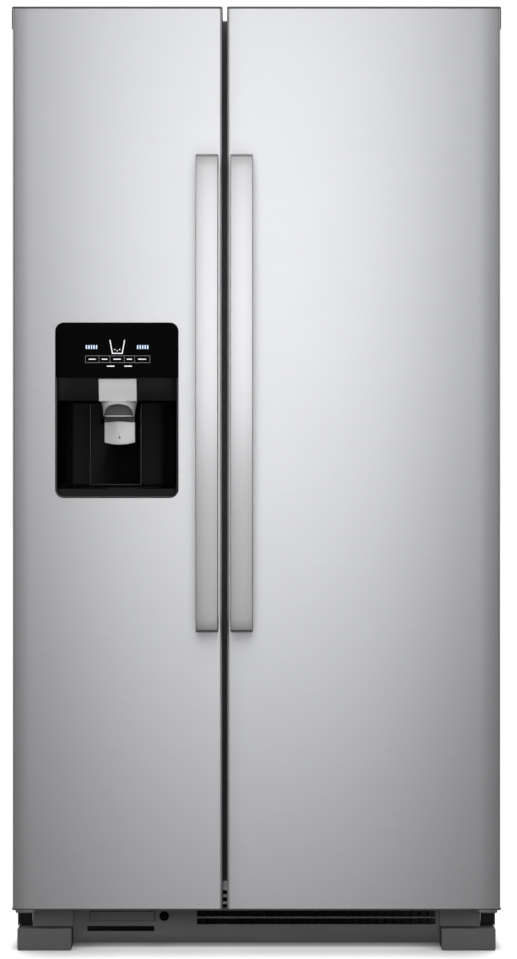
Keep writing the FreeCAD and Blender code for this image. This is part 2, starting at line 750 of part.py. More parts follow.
def bottom_cap(freezer):
    """Plastic lower end of a door with the lower hinge socket and its wear ring."""
    low, high = door_span(freezer)
    over = DOOR_BOTTOM + BOTTOM_CAP_THICK
    plate = block(low, high, DOOR_FRONT, DOOR_BACK, DOOR_BOTTOM, over)
    plate = soften(plate, CAP_CORNER, 2, lambda middle: middle.y < DOOR_FRONT + 1)
    socket = boss(freezer, PLATE_HIGH + GASKET_CLEAR, BOSS_LOW, BOSS_RADIUS)
    cap = join([plate, plug(freezer, over, over + CAP_PLUG), socket])
    return cap.cut(boss(freezer, PLATE_LOW, BOSS_LOW - 6, BOTTOM_PIN_RADIUS + FIT))


def door_caps(freezer):
    return group([top_cap(freezer), bottom_cap(freezer)])


def door_foam(freezer):
    """Foam core of a door."""
    past = 50.0
    core = plug(freezer, DOOR_BOTTOM + BOTTOM_CAP_THICK + CAP_PLUG, HEIGHT - CAP_THICK - CAP_PLUG)
    core = core.cut(boss(freezer, BOSS_HIGH - 8, BOSS_HIGH + past, BOSS_RADIUS))
    core = core.cut(boss(freezer, BOSS_LOW - past, BOSS_LOW, BOSS_RADIUS))
    if freezer:
        core = core.cut(niche_outline(DOOR_FRONT - 1, DOOR_BACK + 1))
    return core


def door_liner(freezer):
    """Inner panel of a door, the two upright walls that carry the bins and, on the freezer door, the box
    behind the dispenser."""
    low, high = skin_span(freezer)
    bottom, top = DOOR_BOTTOM + BOTTOM_CAP_THICK, HEIGHT - CAP_THICK
    sheet = block(low + DOOR_SKIN, high - DOOR_SKIN, DOOR_BACK - LINER, DOOR_BACK, bottom, top)
    pieces = [sheet.cut(hinge_pocket(freezer))]
    left, right = FREEZER_DYKES if freezer else FRIDGE_DYKES
    for x0 in (left, right - DYKE_WIDTH):
        wall = block(x0, x0 + DYKE_WIDTH, DOOR_BACK, DOOR_BACK + DYKE_REACH, DYKE_LOW, DYKE_HIGH)
        pieces.append(soften(wall, DYKE_CORNER, 2, lambda middle: middle.y > DOOR_BACK + 1))
    if freezer:
        bulge_x = (left + DYKE_WIDTH, right - DYKE_WIDTH)
        bulge = block(*bulge_x, DOOR_BACK, BULGE_BACK, BULGE_LOW, BULGE_HIGH)
        niche = niche_outline(DOOR_FRONT, NICHE_BACK)
        pieces[0] = pieces[0].cut(niche)
        pieces.append(bulge.cut(niche).cut(ice_channel(CHANNEL_RADIUS)))
    return group(pieces)


def door_gasket(freezer):
    """Hollow magnetic seal around the door, drawn as a plain closed ring."""
    if freezer:
        low, high = -HINGE_X + 4, DOOR_GAP_CENTRE - 7.5
    else:
        low, high = DOOR_GAP_CENTRE + 7.5, HINGE_X - 4
    y0, y1 = DOOR_BACK, CABINET_FRONT - GASKET_CLEAR
    z0, z1 = GASKET_LOW, GASKET_HIGH
    width = GASKET_WIDTH
    outer = soften(block(low, high, y0, y1, z0, z1), GASKET_CORNER, 1)
    inner = block(low + width, high - width, y0 - 1, y1 + 1, z0 + width, z1 - width)
    return outer.cut(inner)


def bin_span(freezer):
    """Space between the upright walls of a door."""
    left, right = FREEZER_DYKES if freezer else FRIDGE_DYKES
    return left + DYKE_WIDTH, right - DYKE_WIDTH


def door_bins(freezer):
    """Clear bins that hang between the upright walls of a door."""
    left, right = bin_span(freezer)
    rows = FREEZER_BIN_ROWS if freezer else FRIDGE_BIN_ROWS
    y0, y1 = DOOR_BACK, DOOR_BACK + BIN_REACH
    bins = [open_box(left, right, y0, y1, z, z + tall, BIN_WALL, BIN_CORNER) for z, tall in rows]
    if not freezer:
        bins.append(dairy_box())
    return group(bins)


def dairy_box():
    """Butter compartment: a shelf with a roof and ends that carry the flap's pivots."""
    left, right = bin_span(False)
    y0, y1 = DOOR_BACK, DOOR_BACK + DAIRY_REACH
    inside = (DAIRY_LOW + BIN_WALL, DAIRY_HIGH - BIN_WALL)
    hollow = block(left + BIN_WALL, right - BIN_WALL, y0 + BIN_WALL, y1 + 1, *inside)
    pieces = [block(left, right, y0, y1, DAIRY_LOW, DAIRY_HIGH).cut(hollow)]
    for x0 in (left, right - BIN_WALL):
        ear_y = (y1 - 1, FLAP_PIVOT_Y + EAR_HALF)
        pieces.append(block(x0, x0 + BIN_WALL, *ear_y, FLAP_PIVOT_Z - EAR_HALF, DAIRY_HIGH))
    ends = [Vector(x, FLAP_PIVOT_Y, FLAP_PIVOT_Z) for x in (left - 5, right + 5)]
    return join(pieces).cut(rod(*ends, FLAP_PIN + FIT))


def dairy_flap():
    """Cover that lifts on two pivot stubs at its top edge."""
    left, right = bin_span(False)
    gap = BIN_WALL + 0.5
    flap_y = (FLAP_PIVOT_Y - FLAP_HALF, FLAP_PIVOT_Y + FLAP_HALF)
    plate = block(left + gap, right - gap, *flap_y, DAIRY_LOW + 4, FLAP_PIVOT_Z)
    ends = [Vector(x, FLAP_PIVOT_Y, FLAP_PIVOT_Z) for x in (left + 0.5, right - 0.5)]
    return join([plate, rod(*ends, FLAP_PIN)])


def handle(freezer):
    """Bowed flat bar whose ends turn back to the door."""
    if freezer:
        x0 = FREEZER_DOOR_EDGE - HANDLE_INSET - HANDLE_WIDTH
    else:
        x0 = FRIDGE_DOOR_EDGE + HANDLE_INSET
    middle_z = (HANDLE_LOW + HANDLE_HIGH) / 2
    end_y = FRONT + HANDLE_BOW
    inner_y = end_y + HANDLE_THICK
    leg_low, leg_high = HANDLE_LOW + HANDLE_LEG, HANDLE_HIGH - HANDLE_LEG

    def point(y, z):
        return Vector(x0, y, z)

    outer = Part.Arc(
        point(end_y, HANDLE_LOW + HANDLE_BEVEL),
        point(FRONT, middle_z),
        point(end_y, HANDLE_HIGH - HANDLE_BEVEL),
    ).toShape()
    inner = Part.Arc(
        point(inner_y, leg_high), point(FRONT + HANDLE_THICK, middle_z), point(inner_y, leg_low)
    ).toShape()
    top = Part.makePolygon(
        [
            point(end_y, HANDLE_HIGH - HANDLE_BEVEL),
            point(end_y + HANDLE_BEVEL, HANDLE_HIGH),
            point(DOOR_FRONT, HANDLE_HIGH),
            point(DOOR_FRONT, leg_high + HANDLE_LEG_TAPER),
            point(inner_y, leg_high),
        ]
    )
    bottom = Part.makePolygon(
        [
            point(inner_y, leg_low),
            point(DOOR_FRONT, leg_low - HANDLE_LEG_TAPER),
            point(DOOR_FRONT, HANDLE_LOW),
            point(end_y + HANDLE_BEVEL, HANDLE_LOW),
            point(end_y, HANDLE_LOW + HANDLE_BEVEL),
        ]
    )
    wire = Part.Wire([outer] + top.Edges + [inner] + bottom.Edges)
    return Part.Face(wire).extrude(Vector(HANDLE_WIDTH, 0, 0))


# ---------------------------------------------------------------- dispenser
def niche_outline(y0, y1):
    """Rounded rectangle of the dispenser opening, between two Y planes."""
    box = block(NICHE_LEFT, NICHE_RIGHT, y0, y1, NICHE_LOW, NICHE_HIGH)
    return soften(box, NICHE_RADIUS, 1)


def ice_channel(radius):
    """Sloping way for ice from the inside of the door down to the mouth."""
    return rod(Vector(CHUTE_X, CHUTE_Y, CHUTE_LOW), Vector(CHUTE_X, CHUTE_BACK, CHUTE_HIGH), radius)


def dispenser_housing():
    """Black moulding that lines the niche, with lugs for the paddle's pivot."""
    front = DOOR_FRONT - NICHE_PROUD
    back = NICHE_BACK - NICHE_WALL
    profile = [
        (front - 5, TRAY_LOW),
        (back, TRAY_LOW),
        (back, BROW_LOW),
        (DOOR_FRONT + BROW_FOOT, BROW_LOW),
        (DOOR_FRONT + BROW_HEAD, PANEL_LOW),
        (front - 5, PANEL_LOW),
    ]
    space = prism_x(profile, NICHE_LEFT + NICHE_WALL, NICHE_RIGHT - NICHE_WALL)
    shell = niche_outline(front, NICHE_BACK).cut(space)
    pocket_x = (NICHE_LEFT + 8, NICHE_RIGHT - 8)
    pocket = block(*pocket_x, front - 1, DOOR_FRONT + POCKET_DEEP, PANEL_LOW + 10, NICHE_HIGH - 10)
    shell = shell.cut(pocket).cut(ice_channel(CHANNEL_RADIUS - 2))
    lug_y = (PADDLE_PIVOT_Y - LUG_HALF, back + 1)
    lug_z = (PADDLE_PIVOT_Z - LUG_HALF, PADDLE_PIVOT_Z + LUG_HALF)
    lug_x = CHUTE_COVER_HALF + 1
    lugs = [
        block(x0, x0 + NICHE_WALL, *lug_y, *lug_z)
        for x0 in (CHUTE_X - lug_x, CHUTE_X + lug_x - NICHE_WALL)
    ]
    ends = [Vector(x, PADDLE_PIVOT_Y, PADDLE_PIVOT_Z) for x in (CHUTE_X - 40, CHUTE_X + 40)]
    return join([shell] + lugs).cut(rod(*ends, PADDLE_PIN + FIT))


def control_panel():
    """Gloss plate over the electronics, above the niche."""
    front = DOOR_FRONT - NICHE_PROUD
    plate = block(NICHE_LEFT, NICHE_RIGHT, front - PANEL_THICK, front, PANEL_LOW, NICHE_HIGH)
    return soften(plate, NICHE_RADIUS, 1, lambda middle: middle.z > NICHE_HIGH - 1)


def ice_chute_cover():
    """Silver cover on the brow, with the funnel that guides ice into a glass."""
    foot, head = DOOR_FRONT + BROW_FOOT + 0.1, DOOR_FRONT + BROW_HEAD + 0.4
    profile = [
        (foot - COVER_THICK, BROW_LOW - 1),
        (foot, BROW_LOW - 1),
        (head, PANEL_LOW - 2),
        (head - COVER_THICK, PANEL_LOW - 2),
    ]
    plate = prism_x(profile, CHUTE_X - CHUTE_COVER_HALF, CHUTE_X + CHUTE_COVER_HALF)
    tall = BROW_LOW - FUNNEL_LOW
    wall = FUNNEL_WALL
    mouth = Vector(CHUTE_X, CHUTE_Y, FUNNEL_LOW)
    up = Vector(0, 0, 1)
    outer = Part.makeCone(FUNNEL_LOW_RADIUS, FUNNEL_HIGH_RADIUS, tall, mouth, up)
    inner = Part.makeCone(
        FUNNEL_LOW_RADIUS - wall, FUNNEL_HIGH_RADIUS - wall, tall + 0.2, mouth - up * 0.1, up
    )
    return join([plate.cut(outer), outer.cut(inner)])


def dispenser_paddle():
    """Silver lever behind the funnel, pushed back by a glass."""
    plate_x = (CHUTE_X - PADDLE_HALF, CHUTE_X + PADDLE_HALF)
    plate_y = (PADDLE_PIVOT_Y - PADDLE_FRONT, PADDLE_PIVOT_Y + PADDLE_REAR)
    plate = block(*plate_x, *plate_y, PADDLE_LOW, PADDLE_PIVOT_Z)
    plate = soften(plate, PADDLE_CORNER, 1, lambda middle: middle.z < PADDLE_LOW + 1)
    half = CHUTE_COVER_HALF + 0.5
    ends = [Vector(x, PADDLE_PIVOT_Y, PADDLE_PIVOT_Z) for x in (CHUTE_X - half, CHUTE_X + half)]
    return join([plate, rod(*ends, PADDLE_PIN)])


def drip_tray():
    """Shallow tray with slots on the floor of the niche."""
    x0, x1 = NICHE_LEFT + NICHE_WALL, NICHE_RIGHT - NICHE_WALL
    y0, y1 = DOOR_FRONT - NICHE_PROUD, NICHE_BACK - NICHE_WALL
    tray = block(x0, x1, y0, y1, TRAY_LOW, TRAY_HIGH)
    slot_y = y0 + 20
    while slot_y < y1 - 14:
        slot = block(x0 + 18, x1 - 18, slot_y, slot_y + SLOT_WIDTH, TRAY_LOW + SLOT_DEEP, TRAY_HIGH + 1)
        tray = tray.cut(slot)
        slot_y += SLOT_PITCH
    return tray


# ---------------------------------------------------------------- freezer compartment


def wire_shelf(level):
    """Wire grid: a frame with thin bars across it."""
    x0, x1 = FREEZER_LEFT + 5, FREEZER_RIGHT - 5
    y0, y1 = SHELF_FRONT + 4, EVAPORATOR_COVER_Y - 6
    wire = FRAME_WIRE
    tall = (level - wire, level + wire)
    bars = [block(x0 - wire, x1 + wire, y - wire, y + wire, *tall) for y in (y0, y1)]
    bars += [block(x - wire, x + wire, y0, y1, *tall) for x in (x0, x1)]
    for index in range(1, SHELF_BARS):
        x = x0 + (x1 - x0) * index / SHELF_BARS
        bars.append(rod(Vector(x, y0, level), Vector(x, y1, level), WIRE))
    return join(bars)


def basket(levels):
    """Slide-out freezer basket with a taller front."""
    low, high, back = levels
    front_y = SHELF_FRONT - DRAWER_PROUD
    tray = open_box(BASKET_LEFT, BASKET_RIGHT, front_y, back, low, high, BIN_WALL, DRAWER_CORNER)
    front = block(BASKET_LEFT, BASKET_RIGHT, front_y, front_y + BIN_WALL, high - 20, high + 14)
    return join([tray, front])


def evaporator_cover():
    """Ribbed panel at the back of the freezer with an air hole for the fan."""
    x0, x1 = FREEZER_LEFT + 1, FREEZER_RIGHT - 1
    y0, y1 = EVAPORATOR_COVER_Y, EVAPORATOR_COVER_Y + COVER_SHEET
    top, under = EVAPORATOR_COVER_TOP, EVAPORATOR_COVER_TOP - COVER_SHEET
    panel = block(x0, x1, y0, y1, HUMP_TOP + 1, top)
    lid = block(x0, x1, y0, ROOM_BACK - 1, under, top)
    middle = FREEZER_MIDDLE
    hole = rod(Vector(middle, y0 - 6, FAN_Z), Vector(middle, y1 + 3, FAN_Z), FAN_RADIUS + 4)
    arm_half = MOTOR_ARM_HALF
    arm_y = (FAN_Y + 12, ROOM_BACK - 1)
    motor_arm = block(middle - arm_half, middle + arm_half, *arm_y, FAN_Z - arm_half, under)
    shaft = rod(Vector(middle, FAN_Y - 6, FAN_Z), Vector(middle, FAN_Y + 17, FAN_Z), FAN_SHAFT)
    ribs = []
    rib_z = HUMP_TOP + 60
    while rib_z < FAN_Z - FAN_RADIUS - 20:
        ribs.append(block(middle - RIB_HALF, middle + RIB_HALF, y0 - 2, y0, rib_z, rib_z + 4))
        rib_z += 30
    return join([panel.cut(hole), lid, motor_arm, shaft] + ribs)


def fan(middle, axis, radius, hub, bore, depth, blades):
    """Hub with twisted flat blades, turned to face along one axis."""
    body = Part.makeCylinder(hub, depth, Vector(0, 0, -depth / 2), Vector(0, 0, 1))
    pieces = [body]
    for index in range(blades):
        blade = Part.makeBox(radius - hub + 3, radius * 0.45, 2.0, Vector(hub - 3, -radius * 0.22, -1))
        blade.rotate(Vector(0, 0, 0), Vector(1, 0, 0), 25)
        blade.rotate(Vector(0, 0, 0), Vector(0, 0, 1), 360.0 * index / blades)
        pieces.append(blade)
    wheel = join(pieces).cut(Part.makeCylinder(bore, depth * 2, Vector(0, 0, -depth), Vector(0, 0, 1)))
    wheel.rotate(Vector(0, 0, 0), Vector(0, 1, 0) if axis == "x" else Vector(1, 0, 0), 90)
    wheel.translate(middle)
    return wheel


def evaporator_fan():
    return fan(Vector(FREEZER_MIDDLE, FAN_Y, FAN_Z), "y", FAN_RADIUS - 4, 14, FAN_SHAFT + FIT, 12, 5)


def serpentine(x0, x1, y, z0, step, rows, radius):
    """Straight tubes joined by half rings into one coil."""
    pieces = []
    for index in range(rows):
        z = z0 + step * index
        pieces.append(rod(Vector(x0, y, z), Vector(x1, y, z), radius))
        if index < rows - 1:
            at_right = index % 2 == 0
            end = x1 if at_right else x0
            middle = Vector(end, y, z + step / 2)
            ring = Part.makeTorus(step / 2, radius, middle, Vector(0, 1, 0), 0, 360, 360)
            near, far = sorted((end, end + (step if at_right else -step)))
            pieces.append(ring.common(block(near, far, y - step, y + step, z - step, z + 2 * step)))
    return join(pieces)


def evaporator_coil():
    """Tube coil with a stack of fins."""
    x0, x1 = FREEZER_LEFT + 40, FREEZER_RIGHT - 40
    tube = serpentine(x0, x1, COIL_Y, COIL_LOW, COIL_STEP, COIL_ROWS, COIL_TUBE)
    fins = []
    for index in range(FIN_COUNT):
        x = x0 + 10 + index * FIN_PITCH
        fins.append(block(x, x + FIN_THICK, COIL_Y - 23, COIL_Y + 23, COIL_LOW - 10, COIL_LOW + 460))
    return join([tube] + fins)


def ice_maker():
    """Mould tray with a motor end, hung under the ceiling at the back of the freezer."""
    left, right = FREEZER_LEFT + 30, FREEZER_RIGHT - 30
    motor_left = right - MAKER_MOTOR
    mould = block(left, motor_left, MAKER_FRONT, MAKER_BACK, MAKER_LOW, MAKER_HIGH)
    for index in range(POCKET_COUNT):
        x = left + 8 + index * POCKET_PITCH
        pocket_y = (MAKER_FRONT + 10, MAKER_BACK - 10)
        mould = mould.cut(block(x, x + POCKET_LENGTH, *pocket_y, MAKER_LOW + 22, MAKER_HIGH + 10))
    motor = block(motor_left, right, MAKER_FRONT - 8, MAKER_BACK + 8, MAKER_LOW - 10, MAKER_HIGH + 20)
    hanger = block(left, right, MAKER_BACK + 8, MAKER_BACK + 16, MAKER_HIGH, ROOM_CEILING)
    link = block(left, right, MAKER_BACK - 5, MAKER_BACK + 12, MAKER_HIGH - 10, MAKER_HIGH + 2)
    return join([mould, motor, hanger, link])


def ice_bin():
    """Clear bucket under the ice maker, with bearings for the auger and an outlet at the front."""
    bucket = open_box(BIN_LEFT, BIN_RIGHT, BIN_FRONT, BIN_BACK, BIN_LOW, BIN_HIGH, 4, 14)
    x = BIN_MIDDLE
    bore = rod(Vector(x, BIN_BACK - 20, AUGER_Z), Vector(x, BIN_BACK + 5, AUGER_Z), AUGER_SHAFT + FIT)
    outlet_y = (BIN_FRONT - 1, BIN_FRONT + 30)
    outlet = block(x - OUTLET_HALF, x + OUTLET_HALF, *outlet_y, BIN_LOW - 1, BIN_LOW + 22)
    return bucket.cut(bore).cut(outlet)


def ice_auger():
    """Shaft with slanted paddles that carries ice to the outlet."""
    ends = [Vector(BIN_MIDDLE, y, AUGER_Z) for y in (BIN_FRONT + 34, BIN_BACK + 2)]
    pieces = [rod(*ends, AUGER_SHAFT)]
    for index in range(AUGER_BLADES):
        blade = Part.makeBox(2 * AUGER_RADIUS, 2.5, 14, Vector(-AUGER_RADIUS, -1.25, -7))
        blade.rotate(Vector(0, 0, 0), Vector(1, 0, 0), 20)
        blade.rotate(Vector(0, 0, 0), Vector(0, 1, 0), 40 * index)
        blade.translate(Vector(BIN_MIDDLE, BIN_FRONT + 60 + index * AUGER_PITCH, AUGER_Z))
        pieces.append(blade)
    return join(pieces)


# ---------------------------------------------------------------- fridge compartment


def pane(level, past):
    """Block of the glass's outline, from its underside to its top, grown upward by a little."""
    inset = SHELF_CLEAR + GLASS_INSET - 1
    y0, y1 = SHELF_FRONT + GLASS_INSET, SHELF_BACK - GLASS_INSET
    return block(FRIDGE_LEFT + inset, FRIDGE_RIGHT - inset, y0, y1, level, level + GLASS + past)


def glass_shelf(level):
    return pane(level, 0)


def shelf_frame(level):
    """Plastic rim around a glass pane."""
    x0, x1 = FRIDGE_LEFT + SHELF_CLEAR, FRIDGE_RIGHT - SHELF_CLEAR
    outer = block(x0, x1, SHELF_FRONT, SHELF_BACK, level - 8, level + 8)
    side = SHELF_RIM - 1
    inner = block(
        x0 + side, x1 - side, SHELF_FRONT + SHELF_RIM, SHELF_BACK - SHELF_RIM, level - 9, level + 9
    )
    return outer.cut(inner).cut(pane(level, 0))


def drawer(levels):
    """Clear drawer with an upright front and a pull lip."""
    low, high, back = levels
    front_y = SHELF_FRONT - DRAWER_PROUD
    tray = open_box(DRAWER_LEFT, DRAWER_RIGHT, front_y, back, low, high, BIN_WALL, DRAWER_CORNER)
    lip_x = (DRAWER_LEFT + LIP_INSET, DRAWER_RIGHT - LIP_INSET)
    return join([tray, block(*lip_x, front_y, front_y + 12, high - 3, high + 3)])


def drawer_cover(level):
    """Shelf that closes a drawer from above."""
    back = LOW_COVER_BACK if level == COVER_LEVELS[0] else SHELF_BACK
    x0, x1 = FRIDGE_LEFT + SHELF_CLEAR, FRIDGE_RIGHT - SHELF_CLEAR
    return block(x0, x1, SHELF_FRONT, back, level, level + COVER_DEEP)


def control_housing():
    """Light and air control box under the fridge ceiling."""
    low = HOUSING_BOX[-1]
    return soften(block(*HOUSING_BOX, ROOM_CEILING), HOUSING_EDGE, 0, lambda middle: middle.z < low + 1)


def switch_housings():
    """Blocks under the ceiling that guide the light switch plungers."""
    front, back = SWITCH_BLOCK_SPAN
    housings = []
    for x in (FREEZER_SWITCH_X, FRIDGE_SWITCH_X):
        body = block(x - SWITCH_BLOCK, x + SWITCH_BLOCK, front, back, SWITCH_Z - 9, ROOM_CEILING)
        ends = [Vector(x, y, SWITCH_Z) for y in (front - 4, back + 8)]
        housings.append(body.cut(rod(*ends, SWITCH_RADIUS + FIT)))
    return housings


def light_switch(x):
    """Plunger that the closed door holds in."""
    back = SWITCH_BLOCK_SPAN[1] - 6
    return rod(Vector(x, DOOR_BACK + 0.5, SWITCH_Z), Vector(x, back, SWITCH_Z), SWITCH_RADIUS)


# ---------------------------------------------------------------- machine compartment


def compressor():
    """Welded steel can on a plate with four rubber feet."""
    up = Vector(0, 0, 1)
    middle = Vector(COMPRESSOR_X, MACHINE_Y, 0)
    can = Part.makeCylinder(CAN_RADIUS, CAN_HEIGHT, middle + up * CAN_LOW, up)
    rims = [edge for edge in can.Edges if len(edge.Vertexes) == 1]
    top_rim = max(rims, key=lambda edge: edge.CenterOfMass.z)
    can = can.makeFillet(CAN_CROWN, [top_rim])
    x0, x1 = COMPRESSOR_X - MOUNT_HALF_X, COMPRESSOR_X + MOUNT_HALF_X
    y0, y1 = MACHINE_Y - MOUNT_HALF_Y, MACHINE_Y + MOUNT_HALF_Y
    plate = block(x0, x1, y0, y1, MOUNT_LOW, MOUNT_LOW + MOUNT_THICK)
    seat = Part.makeCylinder(CAN_RADIUS - 12, 8, middle + up * (MOUNT_LOW + 3), up)
    feet = []
    for x in (x0 + MOUNT_FOOT, x1 - MOUNT_FOOT):
        for y in (y0 + MOUNT_FOOT, y1 - MOUNT_FOOT):
            feet.append(Part.makeCylinder(MOUNT_FOOT - 2, MOUNT_FOOT, Vector(x, y, RAIL_BOTTOM), up))
    return join([can, plate, seat] + feet)


def condenser_coil():
    """Tube coil in three layers ahead of the fan, on two side plates."""
    left, right = CONDENSER_SPAN
    stack = (CONDENSER_LOW, CONDENSER_STEP, CONDENSER_ROWS, CONDENSER_TUBE)
    layers = [serpentine(left, right, y, *stack) for y in CONDENSER_LAYERS]
    reach = MACHINE_Y - 60, MACHINE_Y + 60
    plates = [block(x, x + 1.5, *reach, 70, 230) for x in (left + 8, right - 10)]
    risers = [block(x, x + 3, MACHINE_Y - 48, MACHINE_Y + 48, 46.5, CONDENSER_LOW) for x in (-300, -250)]
    return join(layers + plates + risers)


def condenser_fan():
    middle = Vector(CONDENSER_FAN_X, MACHINE_Y, CONDENSER_FAN_Z)
    return fan(middle, "x", CONDENSER_FAN_RADIUS, 18, AXLE + FIT, 24, 5)


def fan_shroud_and_motor():
    """Square shroud with a round way through, and the motor on a strut behind the fan."""
    x = CONDENSER_FAN_X
    floor = RAIL_BOTTOM
    near, far = MACHINE_Y - SHROUD_HALF, MACHINE_Y + SHROUD_HALF
    plate = block(x - 22, x - 18, near, far, floor, SHROUD_TOP)

    def bar(start, end, radius):
        return rod(
            Vector(x + start, MACHINE_Y, CONDENSER_FAN_Z), Vector(x + end, MACHINE_Y, CONDENSER_FAN_Z), radius
        )

    strut = block(x + 34, x + 50, MACHINE_Y - 8, MACHINE_Y + 8, floor, CONDENSER_FAN_Z - 15)
    tie = block(x - 22, x + 50, MACHINE_Y - 8, MACHINE_Y + 8, floor, floor + 8)
    plate = plate.cut(bar(-30, -10, CONDENSER_FAN_RADIUS + 5))
    return join([plate, bar(20, 70, MOTOR_RADIUS), bar(-12, 22, AXLE), strut, tie])


def drain_pan():
    """Pan under the condenser that catches defrost water."""
    return open_box(*DRAIN_PAN_BOX, DRAIN_PAN_WALL, 12)


def machine_cover():
    """Rear cover with louvre slots, a way to the socket and one to the water inlet."""
    half = HALF_CABINET - STEEL - 1
    through = (REAR - 3, REAR + 1)
    sheet = block(-half, half, REAR - 2, REAR, MACHINE_BOTTOM, MACHINE_TOP)
    for column in range(LOUVRE_COLUMNS):
        for row in range(LOUVRE_ROWS):
            x = LOUVRE_LEFT + column * LOUVRE_PITCH[0]
            z = LOUVRE_LOW + row * LOUVRE_PITCH[1]
            sheet = sheet.cut(block(x, x + LOUVRE_SIZE[0], *through, z, z + LOUVRE_SIZE[1]))
    left, right, low, high = SOCKET_BOX
    sheet = sheet.cut(block(left - 3, right + 3, *through, low - 3, high + 3))
    return sheet.cut(rod(*[Vector(VALVE_X, y, INLET_Z) for y in through], INLET_RADIUS + 4))


def water_inlet_valve():
    """Solenoid valve with its threaded inlet at the rear."""
    x, y, half = VALVE_X, VALVE_Y, VALVE_HALF
    body = block(x - half, x + half, y - half, y + half, 60, 110)
    coil = rod(Vector(x, y, 110), Vector(x, y, 140), 15)
    inlet = rod(Vector(x, y + 15, INLET_Z), Vector(x, REAR - 2.5, INLET_Z), INLET_RADIUS)
    post = block(x - 5, x + 5, y - 15, y + 15, RAIL_BOTTOM, 62)
    return join([body, coil, inlet, post])


def power_inlet():
    """Socket for the supply lead, low at the rear."""
    left, right, low, high = SOCKET_BOX
    body = block(left, right, REAR - 34, REAR - 2.5, low, high)
    left, right, low, high = SOCKET_SLOT
    return body.cut(block(left, right, REAR - 14, REAR, low, high))


# ---------------------------------------------------------------- every node
save("cabinet_shell", cabinet_shell())
save("cabinet_back_panel", cabinet_back_panel())
save("base_frame", base_frame())
save("cabinet_insulation", cabinet_insulation())
save("freezer_liner", liner(FREEZER_LEFT, FREEZER_RIGHT, BASKET_LEFT, BASKET_RIGHT, BASKET_LEVELS))
fridge_drawers = CRISPER_LEVELS + (MEAT_LEVELS,)
save("fridge_liner", liner(FRIDGE_LEFT, FRIDGE_RIGHT, DRAWER_LEFT, DRAWER_RIGHT, fridge_drawers))
save("mullion_cover", mullion_cover())
save("hinge_brackets", hinge_brackets())
save("hinge_covers", both_sides(hinge_cover()))
save("brake_feet", brake_feet())
save("front_rollers", rollers(FRONT_ROLLER_Y, FRONT_ROLLER, 1.0))
save("rear_rollers", rollers(REAR_ROLLER_Y, REAR_ROLLER, 0.0))
save("base_grille", base_grille())
save("filter_cap", filter_cap())
save("water_filter", water_filter())
save("filter_eject_button", filter_eject_button())

for is_freezer, label in ((True, "freezer_door"), (False, "fridge_door")):
    save(label + "_skin", door_skin(is_freezer))
    save(label + "_foam", door_foam(is_freezer))
    save(label + "_liner", door_liner(is_freezer))
    save(label + "_caps", door_caps(is_freezer))
    save(label + "_gasket", door_gasket(is_freezer))
    save(label + "_handle", handle(is_freezer))
    save(label + "_bins", door_bins(is_freezer))

save("dispenser_housing", dispenser_housing())
save("control_panel", control_panel())
save("ice_chute_cover", ice_chute_cover())
save("dispenser_paddle", dispenser_paddle())
save("drip_tray", drip_tray())
save("dairy_flap", dairy_flap())

save("freezer_shelves", group([wire_shelf(level) for level in FREEZER_SHELF_LEVELS]))
save("freezer_lower_basket", basket(BASKET_LEVELS[0]))
save("freezer_upper_basket", basket(BASKET_LEVELS[1]))
save("evaporator_cover", evaporator_cover())
save("evaporator_coil", evaporator_coil())
save("evaporator_fan", evaporator_fan())
save("ice_maker", ice_maker())
save("ice_bin", ice_bin())
save("ice_auger", ice_auger())

save("fridge_shelf_glass", group([glass_shelf(level) for level in FRIDGE_SHELF_LEVELS]))
frames = [shelf_frame(level) for level in FRIDGE_SHELF_LEVELS]
covers = [drawer_cover(level) for level in COVER_LEVELS]
save("fridge_shelf_frames", group(frames + covers))
save("lower_crisper", drawer(CRISPER_LEVELS[0]))
save("upper_crisper", drawer(CRISPER_LEVELS[1]))
save("meat_drawer", drawer(MEAT_LEVELS))
save("control_housing", group([control_housing()] + switch_housings()))
save("freezer_light_switch", light_switch(FREEZER_SWITCH_X))
save("fridge_light_switch", light_switch(FRIDGE_SWITCH_X))

save("compressor", compressor())
save("condenser", group([condenser_coil(), fan_shroud_and_motor()]))
save("condenser_fan", condenser_fan())
save("drain_pan", drain_pan())
save("machine_cover", machine_cover())
save("water_inlet_valve", water_inlet_valve())
save("power_inlet", power_inlet())
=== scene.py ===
import math

import bmesh
import bpy
import numpy as np
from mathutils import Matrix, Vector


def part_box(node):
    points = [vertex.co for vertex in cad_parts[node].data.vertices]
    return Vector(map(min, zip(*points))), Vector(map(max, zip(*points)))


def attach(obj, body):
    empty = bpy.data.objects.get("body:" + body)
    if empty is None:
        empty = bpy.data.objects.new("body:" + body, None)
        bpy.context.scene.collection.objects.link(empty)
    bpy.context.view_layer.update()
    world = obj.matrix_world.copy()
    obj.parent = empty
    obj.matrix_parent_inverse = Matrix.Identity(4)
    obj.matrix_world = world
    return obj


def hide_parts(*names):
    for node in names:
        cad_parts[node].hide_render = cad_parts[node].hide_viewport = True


bl_info = {
    "name": "Side by side refrigerator",
    "version": (1, 0, 0),
    "blender": (4, 5, 0),
    "location": "3D View > Sidebar > Refrigerator",
    "description": "Finished pieces, finishes and studio of a side by side refrigerator",
    "category": "Object",
}

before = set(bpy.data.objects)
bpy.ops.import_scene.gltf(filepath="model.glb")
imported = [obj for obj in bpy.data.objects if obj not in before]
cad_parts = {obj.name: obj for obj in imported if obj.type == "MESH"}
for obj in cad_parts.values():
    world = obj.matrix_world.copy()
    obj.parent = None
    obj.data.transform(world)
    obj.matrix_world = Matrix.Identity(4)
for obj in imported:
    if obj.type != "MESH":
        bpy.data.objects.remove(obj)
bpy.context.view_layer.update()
MM = 0.001

